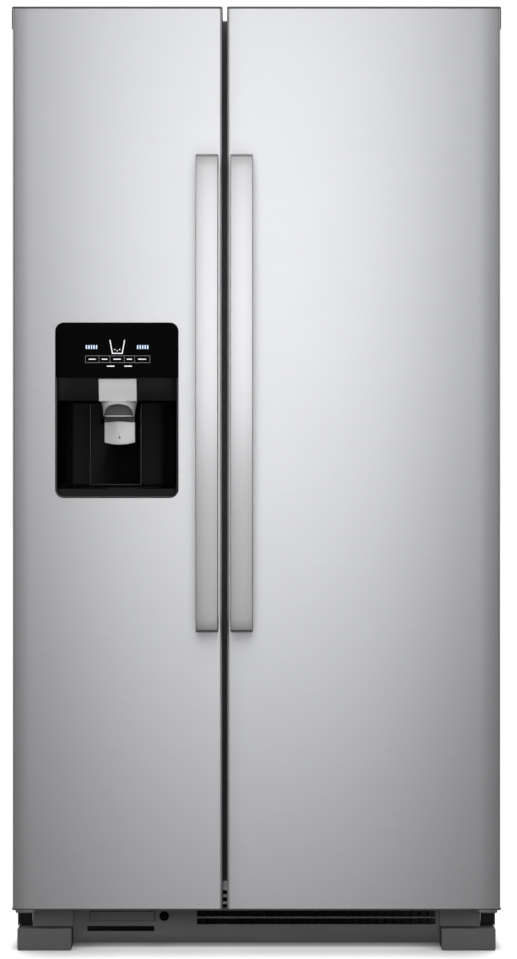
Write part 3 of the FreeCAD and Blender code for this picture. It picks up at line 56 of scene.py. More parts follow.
# Driving dimensions that a node's own box doesn't give, in millimetres.
# Doors and dispenser: underside of the cap pocket, lip height, the brow's lower edge below the chute
# cover's top and its depth there, and the axis of the ice funnel.
CAP_POCKET = 1738.0
NICHE_LIP = 16.0
BROW_DROP = 41.5
BROW_DEPTH = 10.8
FUNNEL_Y = -318.0
# Cabinet: bottom of the front flange, step over the machine space, and front of the drawer rails.
FLANGE_LOW = 86.5
STEP_FRONT, STEP_TOP = 148.0, 312.0
RAIL_FRONT = -186.0
# Shelves, drawer covers and bins, each bin as the height of its floor and how tall it is.
GLASS_LEVELS = (905.0, 1150.0, 1395.0)
GLASS_THICK = 5.0
COVER_LEVELS = (324.0, 560.0, 720.0)
COVER_BACK = 140.0
WIRE_LEVELS = (580.0, 860.0, 1140.0)
FREEZER_BINS = ((190, 110), (400, 110), (610, 110), (1210, 110), (1430, 110))
FRIDGE_BINS = ((190, 120), (460, 120), (730, 120), (1000, 110), (1260, 110))
DAIRY_BASE, DAIRY_DEPTH, DAIRY_EAR = 1500.0, 80.0, -213.0
# Base: the feet and their posts, the grille's openings (painted black there as shade), the hinge arms and the
# slots in the gap (black pieces there as painted shade of the holes).
FOOT_TOP, FOOT_INNER = 41.0, 346.0
POST_X, POST_Y = 396.0, -270.0
GRILLE_SHADE_LOW, GRILLE_SHADE_HIGH = (-113.0, -289.7, 43.6), (337.0, -240.0, 70.4)
HINGE_LOW, HINGE_HIGH = (-450.0, -310.0, 40.0), (450.0, -280.0, 79.5)
GAP_SLOT_X = (-65.0, -54.0)
GAP_SLOTS = ((77.0, 5.6), (88.0, 7.6), (101.0, 7.6))


# ---------------------------------------------------------------- settings
class DoorSettings(bpy.types.PropertyGroup):
    """Sizes of the doors and what is on them."""

    sheet: bpy.props.FloatProperty(
        name="Sheet thickness", description="Thickness of the steel door sheet, in mm", default=0.8)
    edge_radius: bpy.props.FloatProperty(
        name="Edge radius", description="Radius of the folded front edges, in mm", default=5.0)
    handle_edge: bpy.props.FloatProperty(
        name="Handle edge", description="Radius along the handle's long edges, in mm", default=1.6)
    handle_bow: bpy.props.FloatProperty(
        name="Handle bow", description="How far the handle's middle stands ahead of its ends, in mm",
        default=9.0)
    handle_thick: bpy.props.FloatProperty(
        name="Handle thickness", description="Thickness of the handle bar, in mm", default=15.0)
    handle_leg: bpy.props.FloatProperty(
        name="Handle leg", description="Height of each leg of a handle, in mm", default=30.0)
    niche_radius: bpy.props.FloatProperty(
        name="Niche radius", description="Corner radius of the dispenser opening, in mm", default=16.0)


class CabinetSettings(bpy.types.PropertyGroup):
    """Sizes of the cabinet's sheet metal and inner walls."""

    sheet: bpy.props.FloatProperty(
        name="Sheet thickness", description="Thickness of the painted sheet, in mm", default=1.0)
    fold: bpy.props.FloatProperty(
        name="Fold radius", description="Radius where the sheet is folded, in mm", default=3.0)
    flange: bpy.props.FloatProperty(
        name="Flange width", description="Width of the flange around the front, in mm", default=48.0)
    liner_corner: bpy.props.FloatProperty(
        name="Liner corner", description="Corner radius of the formed liners, in mm", default=18.0)
    liner_wall: bpy.props.FloatProperty(
        name="Liner wall", description="Thickness of the formed liners, in mm", default=2.0)


class FinishSettings(bpy.types.PropertyGroup):
    """Colours of the finishes."""

    steel: bpy.props.FloatVectorProperty(
        name="Brushed steel", description="Colour of the door sheets", subtype="COLOR",
        default=(0.66, 0.665, 0.68))
    handle: bpy.props.FloatVectorProperty(
        name="Handle steel", description="Colour of the handles", subtype="COLOR",
        default=(0.48, 0.48, 0.49))
    side: bpy.props.FloatVectorProperty(
        name="Side paint", description="Colour of the painted cabinet", subtype="COLOR",
        default=(0.135, 0.137, 0.135))
    kick: bpy.props.FloatVectorProperty(
        name="Kick plate", description="Colour of the kick plate and feet", subtype="COLOR",
        default=(0.235, 0.235, 0.23))
    cap: bpy.props.FloatVectorProperty(
        name="End caps", description="Colour of the door's end caps", subtype="COLOR",
        default=(0.115, 0.115, 0.115))
    liner: bpy.props.FloatVectorProperty(
        name="Liner", description="Colour of the white inner plastic", subtype="COLOR",
        default=(0.80, 0.81, 0.81))
    marks: bpy.props.FloatVectorProperty(
        name="Panel marks", description="Colour of the lit marks on the panel", subtype="COLOR",
        default=(0.62, 0.74, 1.0))


class StudioSettings(bpy.types.PropertyGroup):
    """Camera and light."""

    distance: bpy.props.FloatProperty(
        name="Camera distance", description="From the doors to the camera", default=3.5, unit="LENGTH")
    eye: bpy.props.FloatProperty(
        name="Camera height", description="Height of the camera", default=0.991, unit="LENGTH")
    lens: bpy.props.FloatProperty(
        name="Lens", description="Focal length on a 36 mm sensor, in mm", default=71.49)
    strip: bpy.props.FloatProperty(
        name="Strip light", description="Power of the tall soft light in front", default=11.5, unit="POWER")
    low_strip: bpy.props.FloatProperty(
        name="Low light", description="Power of the dimmer soft light below it", default=3.9, unit="POWER")
    upper: bpy.props.FloatProperty(
        name="Upper light", description="Power of the wide light above the doors", default=7.0, unit="POWER")
    overhead: bpy.props.FloatProperty(
        name="Overhead light", description="Power of the soft light above", default=12.0, unit="POWER")
    ambient: bpy.props.FloatProperty(
        name="Ambient", description="Strength of the even studio light", default=0.03)
    surround: bpy.props.FloatProperty(
        name="Surround", description="Strength of the studio light from the sides and behind", default=0.7)
    floor_lift: bpy.props.FloatProperty(
        name="Floor lift", description="Light added to the floor as the camera sees it", default=1.1)


SETTINGS = (
    ("fridge_doors", DoorSettings),
    ("fridge_cabinet", CabinetSettings),
    ("fridge_finish", FinishSettings),
    ("fridge_studio", StudioSettings),
)


# ---------------------------------------------------------------- reading the frame
def box_mm(node):
    """Lowest and highest corner of a CAD node, in millimetres."""
    low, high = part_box(node)
    return np.array(low) / MM, np.array(high) / MM


# ---------------------------------------------------------------- shapes, all in millimetres
def rounded_loop(low, high, radius, steps=6):
    """Closed loop of a rounded rectangle: a quarter circle about each corner's centre, joined by lines."""
    (x0, y0), (x1, y1) = low, high
    radius = max(min(radius, (x1 - x0) / 2, (y1 - y0) / 2), 0.0)
    centres = np.array([
        [x1 - radius, y0 + radius], [x1 - radius, y1 - radius],
        [x0 + radius, y1 - radius], [x0 + radius, y0 + radius],
    ])
    starts = np.array([-1.0, 0.0, 1.0, 2.0]) * math.pi / 2
    angles = starts[:, None] + np.linspace(0, math.pi / 2, steps)
    ring = np.stack([np.cos(angles), np.sin(angles)], -1) * radius
    return (centres[:, None] + ring).reshape(-1, 2)


def filleted(points, radii, steps=6):
    """Outline with round corners: each arc's centre lies on the corner's bisector, at the radius over the
    sine of half the corner's angle, and the arc runs between its two tangent points."""
    points = np.array(points, float)
    radii = np.broadcast_to(np.array(radii, float), len(points))
    before = np.roll(points, 1, 0) - points
    after = np.roll(points, -1, 0) - points
    before /= np.linalg.norm(before, axis=1)[:, None]
    after /= np.linalg.norm(after, axis=1)[:, None]
    half = np.arccos(np.clip((before * after).sum(1), -1, 1)) / 2
    middle = before + after
    size = np.linalg.norm(middle, axis=1)
    middle /= np.where(size < 1e-9, 1.0, size)[:, None]
    reach = radii / np.tan(half)
    centre = points + middle * (radii / np.sin(half))[:, None]
    start = points + before * reach[:, None] - centre
    end = points + after * reach[:, None] - centre
    first = np.arctan2(start[:, 1], start[:, 0])
    sweep = (np.arctan2(end[:, 1], end[:, 0]) - first + math.pi) % (2 * math.pi) - math.pi
    angle = first[:, None] + sweep[:, None] * np.linspace(0, 1, steps)
    ring = np.stack([np.cos(angle), np.sin(angle)], -1) * radii[:, None, None]
    return (centre[:, None] + ring).reshape(-1, 2)


def placed(loop, axis, place):
    """A flat loop of (first, second) points put in the plane across one axis, at that place along it."""
    return np.insert(loop, axis, place, axis=1)


def grid(points, around=False, along=False):
    """Quads between neighbouring points of rows and columns, which may close on themselves either way."""
    rows, columns = points.shape[:2]
    index = np.arange(rows * columns).reshape(rows, columns)
    if along:
        index = np.vstack([index, index[:1]])
    if around:
        index = np.hstack([index, index[:, :1]])
    quads = np.stack([index[:-1, :-1], index[:-1, 1:], index[1:, 1:], index[1:, :-1]], -1)
    return points.reshape(-1, 3), quads.reshape(-1, 4), []


def stacked(loops, caps=True):
    """Closed skin through a stack of loops with the same number of points, with a flat face at each end."""
    points = np.stack(loops)
    flat, quads, _ = grid(points, around=True)
    count = points.shape[1]
    ends = [np.arange(count), np.arange(len(flat) - count, len(flat))] if caps else []
    return flat, quads, ends


def soft_box(low, high, radius, axis=1, steps=4):
    """Box with round edges: rounded rectangles stacked along one axis, drawn in along a quarter circle at
    both ends by radius times (1 - sine of the turn)."""
    low, high = np.array(low, float), np.array(high, float)
    flat = [other for other in range(3) if other != axis]
    turn = np.linspace(0, math.pi / 2, steps)
    inset = radius * (1 - np.sin(turn))
    rise = radius * (1 - np.cos(turn))
    places = np.concatenate([low[axis] + rise, (high[axis] - rise)[::-1]])
    cuts = np.concatenate([inset, inset[::-1]])
    loops = []
    for place, cut in zip(places, cuts):
        loop = rounded_loop(low[flat] + cut, high[flat] - cut, radius - cut, steps)
        loops.append(placed(loop, axis, place))
    return stacked(loops)


def turned(profile, centre, axis, steps=40):
    """Surface of revolution: each (place along the axis, radius) pair becomes a circle, with flat ends."""
    profile = np.array(profile, float)
    angle = np.linspace(0, 2 * math.pi, steps, endpoint=False)
    circle = np.stack([np.cos(angle), np.sin(angle)], -1)
    flat = [other for other in range(3) if other != axis]
    middle = np.array(centre, float)[flat]
    loops = [placed(middle + circle * radius, axis, place) for place, radius in profile]
    return stacked(loops)


def rods(starts, ends, radius, sides=10):
    """Round bars between pairs of points: a circle across each bar's direction, carried along it."""
    starts, ends = np.array(starts, float), np.array(ends, float)
    axis = (ends - starts) / np.linalg.norm(ends - starts, axis=1)[:, None]
    helper = np.where(np.abs(axis[:, 2:]) < 0.9, [[0.0, 0.0, 1.0]], [[1.0, 0.0, 0.0]])
    first = np.cross(axis, helper)
    first /= np.linalg.norm(first, axis=1)[:, None]
    second = np.cross(axis, first)
    angle = np.linspace(0, 2 * math.pi, sides, endpoint=False)
    ring = (first[:, None] * np.cos(angle)[:, None] + second[:, None] * np.sin(angle)[:, None]) * radius
    parts = []
    for start, end, circle in zip(starts, ends, ring):
        parts.append(stacked([start + circle, end + circle]))
    return parts


def tray(low, high, wall, radius, rim=2.0, steps=6):
    """Open box: rounded rectangles carried along a wall section that goes up the outside, over a round rim
    that stands out a little, and down the inside to the floor."""
    low, high = np.array(low, float), np.array(high, float)
    turn = np.linspace(0, math.pi, 7)
    lip = wall / 2 + rim / 2
    base = 4.0
    section = [(base, low[2]), (base * 0.3, low[2] + base * 0.3), (0.0, low[2] + base)]
    section += [(0.0, high[2] - 2 * rim - lip), (-rim, high[2] - rim - lip)]
    section += [(wall / 2 - rim / 2 - lip * math.cos(t), high[2] - lip + lip * math.sin(t)) for t in turn]
    section += [(wall, high[2] - rim - lip), (wall, low[2] + wall + base)]
    section += [(wall + base * 0.3, low[2] + wall + base * 0.3), (wall + base, low[2] + wall)]
    loops = []
    for cut, height in section:
        loop = rounded_loop(low[:2] + cut, high[:2] - cut, radius - cut, steps)
        loops.append(placed(loop, 2, height))
    return stacked(loops)


def swept_ring(low, high, radius, section, axis, steps=8):
    """Closed ring: a closed section of (inset, place) pairs carried round a rounded rectangle."""
    low, high = np.array(low, float), np.array(high, float)
    loops = []
    for cut, place in section:
        loop = rounded_loop(low + cut, high - cut, max(radius - cut, 0.5), steps)
        loops.append(placed(loop, axis, place))
    return grid(np.stack(loops), around=True, along=True)


# ---------------------------------------------------------------- objects
def whole(parts):
    """Several (points, quads, end faces) parts as one list of points and one list of faces."""
    points, faces, start = [], [], 0
    for part_points, quads, ends in parts:
        points.append(np.asarray(part_points, float))
        faces += (quads + start).tolist()
        faces += [(end + start).tolist() for end in ends]
        start += len(part_points)
    return np.vstack(points) * MM, faces


def tidy_mesh(mesh, closed, merge=2e-6):
    """Merges doubles, drops faces without area and, on closed shapes, turns every face outward."""
    work = bmesh.new()
    work.from_mesh(mesh)
    bmesh.ops.remove_doubles(work, verts=work.verts, dist=merge)
    bmesh.ops.dissolve_degenerate(work, edges=work.edges, dist=merge)
    if closed:
        bmesh.ops.recalc_face_normals(work, faces=work.faces)
    work.to_mesh(mesh)
    work.free()


def smooth_shade(obj, angle=32.0):
    obj.data.shade_smooth()
    obj.data.set_sharp_from_angle(angle=math.radians(angle))


def freeze(obj):
    """Applies the modifiers, so that the finished mesh is what rides on its body."""
    graph = bpy.context.evaluated_depsgraph_get()
    graph.update()
    mesh = bpy.data.meshes.new_from_object(obj.evaluated_get(graph))
    obj.modifiers.clear()
    obj.data = mesh
    mesh.name = obj.name


def grain_map(obj, across):
    """UV map whose first direction runs across the brushing: across is how much of x, y and z it takes."""
    mesh = obj.data
    count = len(mesh.loops)
    index = np.empty(count, np.int32)
    mesh.loops.foreach_get("vertex_index", index)
    co = np.empty(len(mesh.vertices) * 3, np.float32)
    mesh.vertices.foreach_get("co", co)
    co = co.reshape(-1, 3)[index]
    other = np.array([1.0, 1.0, 1.0]) - np.array(across)
    uv = np.stack([co @ np.array(across, np.float32), co @ other.astype(np.float32)], -1)
    layer = mesh.uv_layers.new(name="grain")
    layer.data.foreach_set("uv", uv.astype(np.float32).ravel())


def make(name, parts, slot, body, nodes=(), closed=True, wall=0.0, sharp=32.0):
    """A finished piece: its mesh, its finish, the body it rides on and the CAD nodes it stands for."""
    points, faces = whole(parts)
    mesh = bpy.data.meshes.new(name)
    mesh.from_pydata(points, [], faces)
    tidy_mesh(mesh, closed)
    obj = bpy.data.objects.new(name, mesh)
    bpy.context.scene.collection.objects.link(obj)
    if wall:
        solid = obj.modifiers.new("wall", "SOLIDIFY")
        solid.thickness = wall * MM
        solid.offset = -1
        solid.use_even_offset = True
        freeze(obj)
    smooth_shade(obj, sharp)
    obj.data.materials.append(bpy.data.materials[slot])
    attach(obj, body)
    if nodes:
        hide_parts(*nodes)
    return obj


def darkened(obj, second, low, high):
    """Gives a second finish to the faces whose corners all lie in a box."""
    mesh = obj.data
    co = np.empty(len(mesh.vertices) * 3, np.float32)
    mesh.vertices.foreach_get("co", co)
    co = co.reshape(-1, 3) / MM
    inside = ((co > np.array(low)) & (co < np.array(high))).all(1)
    corner = np.empty(len(mesh.loops), np.int32)
    mesh.loops.foreach_get("vertex_index", corner)
    first = np.empty(len(mesh.polygons), np.int32)
    mesh.polygons.foreach_get("loop_start", first)
    chosen = np.logical_and.reduceat(inside[corner], first)
    index = np.empty(len(mesh.polygons), np.int32)
    mesh.polygons.foreach_get("material_index", index)
    mesh.materials.append(bpy.data.materials[second])
    last = len(mesh.materials) - 1
    mesh.polygons.foreach_set("material_index", np.where(chosen, last, index).astype(np.int32))


def softened(node, body, width, slot=None, segments=2):
    """The CAD shape with round edges: a copy with its doubles merged, flat faces rejoined and a bevel."""
    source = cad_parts[node]
    slot = slot or source.data.materials[0].name
    mesh = source.data.copy()
    mesh.materials.clear()
    work = bmesh.new()
    work.from_mesh(mesh)
    bmesh.ops.remove_doubles(work, verts=work.verts, dist=1e-5)
    bmesh.ops.dissolve_limit(
        work, angle_limit=math.radians(1.0), verts=work.verts, edges=work.edges, delimit={"NORMAL"})
    work.to_mesh(mesh)
    work.free()
    obj = bpy.data.objects.new(node + "_soft", mesh)
    bpy.context.scene.collection.objects.link(obj)
    bevel = obj.modifiers.new("edges", "BEVEL")
    bevel.width = width * MM
    bevel.segments = segments
    bevel.limit_method = "ANGLE"
    bevel.angle_limit = math.radians(32)
    freeze(obj)
    smooth_shade(obj, 40.0)
    obj.data.materials.append(bpy.data.materials[slot])
    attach(obj, body)
    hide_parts(node)
    return obj


# ---------------------------------------------------------------- finishes
def group_tree(name, inputs, outputs):
    """An empty shader node group with named inputs and outputs."""
    tree = bpy.data.node_groups.new(name, "ShaderNodeTree")
    for label, kind, value in inputs:
        socket = tree.interface.new_socket(label, in_out="INPUT", socket_type=kind)
        if value is not None:
            socket.default_value = value
    for label, kind in outputs:
        tree.interface.new_socket(label, in_out="OUTPUT", socket_type=kind)
    return tree, tree.nodes.new("NodeGroupInput"), tree.nodes.new("NodeGroupOutput")


def node(tree, kind, **values):
    """A shader node, with its properties set by name."""
    made = tree.nodes.new(kind)
    for key, value in values.items():
        setattr(made, key, value)
    return made


def noise(tree, vector, scale, detail=3.0, rough=0.55):
    made = node(tree, "ShaderNodeTexNoise")
    made.inputs["Scale"].default_value = scale
    made.inputs["Detail"].default_value = detail
    made.inputs["Roughness"].default_value = rough
    tree.links.new(vector, made.inputs["Vector"])
    return made.outputs["Fac"]


def ranged(tree, value, low, high, start=0.3, end=0.7):
    """A noise value stretched to run from low to high."""
    made = node(tree, "ShaderNodeMapRange")
    made.inputs["From Min"].default_value = start
    made.inputs["From Max"].default_value = end
    made.inputs["To Min"].default_value = low
    made.inputs["To Max"].default_value = high
    tree.links.new(value, made.inputs["Value"])
    return made.outputs["Result"]


def brushed_group():
    """Brushing: noise drawn out one way by unequal scaling, as a streak value and a fine normal."""
    tree, start, end = group_tree(
        "Brushing",
        [("Position", "NodeSocketVector", None), ("Stretch", "NodeSocketVector", (8.0, 8.0, 700.0)),
         ("Depth", "NodeSocketFloat", 0.1)],
        [("Streak", "NodeSocketFloat"), ("Normal", "NodeSocketVector")],
    )
    scale = node(tree, "ShaderNodeVectorMath", operation="MULTIPLY")
    tree.links.new(start.outputs["Position"], scale.inputs[0])
    tree.links.new(start.outputs["Stretch"], scale.inputs[1])
    coarse = noise(tree, scale.outputs[0], 1.0, 2.0)
    fine = noise(tree, scale.outputs[0], 3.1, 2.0)
    mixed = node(tree, "ShaderNodeMix", data_type="FLOAT")
    mixed.inputs["Factor"].default_value = 0.45
    tree.links.new(coarse, mixed.inputs["A"])
    tree.links.new(fine, mixed.inputs["B"])
    bump = node(tree, "ShaderNodeBump")
    bump.inputs["Distance"].default_value = 0.0002
    tree.links.new(start.outputs["Depth"], bump.inputs["Strength"])
    tree.links.new(mixed.outputs["Result"], bump.inputs["Height"])
    tree.links.new(mixed.outputs["Result"], end.inputs["Streak"])
    tree.links.new(bump.outputs["Normal"], end.inputs["Normal"])
    return tree


def moulded_group():
    """Moulded surface: cloudy tone from broad noise, and fine pebbles from small noise as a bump."""
    tree, start, end = group_tree(
        "Moulded grain",
        [("Position", "NodeSocketVector", None), ("Pebbles", "NodeSocketFloat", 900.0),
         ("Depth", "NodeSocketFloat", 0.15)],
        [("Cloud", "NodeSocketFloat"), ("Speck", "NodeSocketFloat"), ("Normal", "NodeSocketVector")],
    )
    cloud = noise(tree, start.outputs["Position"], 7.0, 4.0)
    grain = node(tree, "ShaderNodeTexNoise")
    grain.inputs["Detail"].default_value = 2.0
    tree.links.new(start.outputs["Position"], grain.inputs["Vector"])
    tree.links.new(start.outputs["Pebbles"], grain.inputs["Scale"])
    bump = node(tree, "ShaderNodeBump")
    bump.inputs["Distance"].default_value = 0.0004
    tree.links.new(start.outputs["Depth"], bump.inputs["Strength"])
    tree.links.new(grain.outputs["Fac"], bump.inputs["Height"])
    tree.links.new(cloud, end.inputs["Cloud"])
    tree.links.new(grain.outputs["Fac"], end.inputs["Speck"])
    tree.links.new(bump.outputs["Normal"], end.inputs["Normal"])
    return tree


def blank(name):
    """A material with its position input and its surface shader ready."""
    material = bpy.data.materials.get(name)
    if material:
        material.name = name + "_packed"
    material = bpy.data.materials.new(name)
    material.use_nodes = True
    tree = material.node_tree
    tree.nodes.clear()
    surface = node(tree, "ShaderNodeBsdfPrincipled")
    output = node(tree, "ShaderNodeOutputMaterial")
    tree.links.new(surface.outputs["BSDF"], output.inputs["Surface"])
    position = node(tree, "ShaderNodeTexCoord").outputs["Object"]
    return material, tree, surface, position


def effect(tree, name, position, **values):
    """One of the shared groups, placed in a material with its own values."""
    made = node(tree, "ShaderNodeGroup")
    made.node_tree = bpy.data.node_groups[name]
    tree.links.new(position, made.inputs["Position"])
    for key, value in values.items():
        made.inputs[key].default_value = value
    return made


def toned(tree, factor, colour, spread):
    """A colour that runs from a little darker to a little lighter with a factor."""
    mix = node(tree, "ShaderNodeMix", data_type="RGBA")
    mix.inputs["A"].default_value = (*(channel * (1 - spread) for channel in colour), 1)
    mix.inputs["B"].default_value = (*(min(channel * (1 + spread), 1.0) for channel in colour), 1)
    tree.links.new(factor, mix.inputs["Factor"])
    return mix.outputs["Result"]


def brushed_metal(name, colour, stretch, roughness, anisotropy, depth, turn=0.0):
    """Brushed metal: streaks move its tone and roughness, and the highlight spreads across the brushing."""
    material, tree, surface, position = blank(name)
    brushing = effect(tree, "Brushing", position, Stretch=stretch, Depth=depth)
    streak = ranged(tree, brushing.outputs["Streak"], 0.0, 1.0)
    tree.links.new(toned(tree, streak, colour, 0.035), surface.inputs["Base Color"])
    gloss = ranged(tree, brushing.outputs["Streak"], roughness - 0.03, roughness + 0.03)
    tree.links.new(gloss, surface.inputs["Roughness"])
    tree.links.new(brushing.outputs["Normal"], surface.inputs["Normal"])
    surface.inputs["Metallic"].default_value = 1.0
    surface.inputs["Anisotropic"].default_value = anisotropy
    surface.inputs["Anisotropic Rotation"].default_value = turn
    tangent = node(tree, "ShaderNodeTangent", direction_type="UV_MAP", uv_map="grain")
    tree.links.new(tangent.outputs["Tangent"], surface.inputs["Tangent"])
    return material


def plain_metal(name, colour, roughness, pebbles, depth, spread, metallic=1.0):
    """Bare or painted sheet: cloudy tone, a fine skin and slightly uneven gloss."""
    material, tree, surface, position = blank(name)
    grain = effect(tree, "Moulded grain", position, Pebbles=pebbles, Depth=depth)
    cloud = ranged(tree, grain.outputs["Cloud"], 0.0, 1.0)
    tree.links.new(toned(tree, cloud, colour, spread), surface.inputs["Base Color"])
    gloss = ranged(tree, grain.outputs["Speck"], roughness - 0.05, roughness + 0.05)
    tree.links.new(gloss, surface.inputs["Roughness"])
    tree.links.new(grain.outputs["Normal"], surface.inputs["Normal"])
    surface.inputs["Metallic"].default_value = metallic
    return material


def moulded(name, colour, roughness, pebbles=900.0, depth=0.12, spread=0.04, level=0.5, coat=0.0):
    """Moulded plastic: an even colour with faint clouds, and a fine or glossy skin."""
    material, tree, surface, position = blank(name)
    grain = effect(tree, "Moulded grain", position, Pebbles=pebbles, Depth=depth)
    cloud = ranged(tree, grain.outputs["Cloud"], 0.0, 1.0)
    tree.links.new(toned(tree, cloud, colour, spread), surface.inputs["Base Color"])
    gloss = ranged(tree, grain.outputs["Cloud"], max(roughness - 0.03, 0.02), roughness + 0.03)
    tree.links.new(gloss, surface.inputs["Roughness"])
    tree.links.new(grain.outputs["Normal"], surface.inputs["Normal"])
    surface.inputs["Specular IOR Level"].default_value = level
    surface.inputs["Coat Weight"].default_value = coat
    return material


def clear(name, colour, roughness, alpha_low, alpha_high):
    """Clear sheet: seen through face on, more solid towards its edges, with light cloudy wear."""
    material, tree, surface, position = blank(name)
    grain = effect(tree, "Moulded grain", position, Pebbles=300.0, Depth=0.03)
    cloud = ranged(tree, grain.outputs["Cloud"], 0.0, 1.0)
    tree.links.new(toned(tree, cloud, colour, 0.03), surface.inputs["Base Color"])
    gloss = ranged(tree, grain.outputs["Cloud"], roughness, roughness + 0.06)
    tree.links.new(gloss, surface.inputs["Roughness"])
    edge = node(tree, "ShaderNodeLayerWeight")
    edge.inputs["Blend"].default_value = 0.35
    alpha = ranged(tree, edge.outputs["Facing"], alpha_low, alpha_high, 0.0, 1.0)
    tree.links.new(alpha, surface.inputs["Alpha"])
    return material


def spangled(name, colour):
    """Galvanised sheet: flat crystals of slightly different tone, from a cell pattern, and uneven gloss."""
    material, tree, surface, position = blank(name)
    cells = node(tree, "ShaderNodeTexVoronoi")
    cells.inputs["Scale"].default_value = 95.0
    tree.links.new(position, cells.inputs["Vector"])
    split = node(tree, "ShaderNodeSeparateColor")
    tree.links.new(cells.outputs["Color"], split.inputs["Color"])
    tree.links.new(toned(tree, split.outputs["Red"], colour, 0.12), surface.inputs["Base Color"])
    tree.links.new(ranged(tree, split.outputs["Green"], 0.36, 0.52, 0.0, 1.0), surface.inputs["Roughness"])
    surface.inputs["Metallic"].default_value = 0.9
    return material


def lit_marks(name, colour, strength):
    """Marks lit from behind, slightly uneven like a diffused lamp."""
    material, tree, surface, position = blank(name)
    grain = effect(tree, "Moulded grain", position, Pebbles=1500.0, Depth=0.05)
    tone = toned(tree, ranged(tree, grain.outputs["Cloud"], 0.0, 1.0), colour, 0.1)
    tree.links.new(tone, surface.inputs["Base Color"])
    tree.links.new(tone, surface.inputs["Emission Color"])
    surface.inputs["Emission Strength"].default_value = strength
    surface.inputs["Roughness"].default_value = 0.4
    return material


class FRIDGE_OT_finishes(bpy.types.Operator):
    """Make every finish and give it to the CAD nodes that stay visible"""

    bl_idname = "fridge.finishes"
    bl_label = "Finishes"

    def execute(self, context):
        colours = context.scene.fridge_finish
        brushed_group()
        moulded_group()
        made = [
            brushed_metal("brushed_steel", colours.steel, (9.0, 9.0, 620.0), 0.48, 0.72, 0.10),
            brushed_metal("handle_steel", colours.handle, (700.0, 700.0, 7.0), 0.34, 0.70, 0.06),
            plain_metal("side_paint", colours.side, 0.46, 520.0, 0.30, 0.03, metallic=0.0),
            spangled("galvanised", (0.52, 0.53, 0.54)),
            plain_metal("black_steel", (0.018, 0.018, 0.018), 0.38, 420.0, 0.12, 0.15, metallic=0.0),
            moulded("foam", (0.78, 0.68, 0.42), 0.9, 350.0, 0.5, 0.1),
            moulded("liner_plastic", colours.liner, 0.22, 260.0, 0.03, 0.012),
            moulded("grey_plastic", colours.kick, 0.5, 1100.0, 0.12, 0.05, level=0.35),
            moulded("cap_plastic", colours.cap, 0.42, 1100.0, 0.12, 0.04, level=0.4),
            moulded("gloss_black", (0.0012, 0.0012, 0.0014), 0.06, 200.0, 0.0, 0.1, level=0.01),
            moulded("black_plastic", (0.0034, 0.0034, 0.0037), 0.20, 400.0, 0.015, 0.1, level=0.035),
            # brow_black: the bowl's black made lighter, as painted light on the brow and painted reflection
            # on the side walls
            moulded("brow_black", (0.0095, 0.0095, 0.0098), 0.3, 400.0, 0.015, 0.1, level=0.1),
            # edge_grey: grey strokes that stand in for the lit edges of the dispenser insert
            moulded("edge_grey", (0.05, 0.05, 0.052), 0.3, 400.0, 0.015, 0.1),
            # rim_black: a glossier black, also lighter than the moulding as partly painted sheen on the rim
            # and lip
            moulded("rim_black", (0.008, 0.008, 0.0084), 0.14, 400.0, 0.0, 0.1, level=0.5),
            moulded("silver_plastic", (0.95, 0.95, 0.945), 0.3, 1300.0, 0.04, 0.02, level=0.8, coat=0.5),
            moulded("rubber_grey", (0.11, 0.11, 0.115), 0.62, 800.0, 0.1, 0.06),
            clear("clear_plastic", (0.80, 0.86, 0.88), 0.08, 0.16, 0.85),
            clear("shelf_glass", (0.55, 0.74, 0.68), 0.03, 0.14, 0.9),
            moulded("white_wire", (0.80, 0.81, 0.81), 0.28, 700.0, 0.05, 0.02),
            plain_metal("copper", (0.80, 0.42, 0.27), 0.34, 500.0, 0.08, 0.12),
            plain_metal("zinc_steel", (0.56, 0.56, 0.54), 0.36, 700.0, 0.10, 0.08),
            moulded("filter_white", (0.66, 0.69, 0.72), 0.35, 700.0, 0.05, 0.02),
            moulded("roller_plastic", (0.016, 0.016, 0.016), 0.5, 800.0, 0.15, 0.12),
            lit_marks("panel_light", colours.marks, 0.75),
            lit_marks("panel_white", (0.82, 0.83, 0.86), 0.7),
            lit_marks("panel_print", (0.30, 0.30, 0.31), 0.25),
        ]
        names = {material.name for material in made}
        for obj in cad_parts.values():
            for holder in obj.material_slots:
                slot = holder.material.name.replace("_packed", "")
                if slot in names:
                    holder.material = bpy.data.materials[slot]
        return {"FINISHED"}


# ---------------------------------------------------------------- doors
def round_in_box(points, half, radius):
    """Points of a rectangle's outline moved onto the rounded rectangle: beyond a corner's centre, a point
    goes to one radius from that centre."""
    size = np.abs(points)
    over = np.maximum(size - (half - radius), 0)
    length = np.linalg.norm(over, axis=1)[:, None]
    corner = (over > 1e-9).all(1)[:, None]
    pull = np.where(corner, over / np.maximum(length, 1e-9) * radius, over)
    return np.sign(points) * (np.minimum(size, half - radius) + pull)


def side_marks(half, radius):
    """Places along one side of a rectangle: evenly over its straight part, then at equal turns."""
    turn = radius * np.tan(np.linspace(0, math.pi / 4, 6))[1:]
    straight = np.linspace(-(half - radius), half - radius, 9)
    return np.concatenate([-(half - radius) - turn[::-1], straight, (half - radius) + turn])


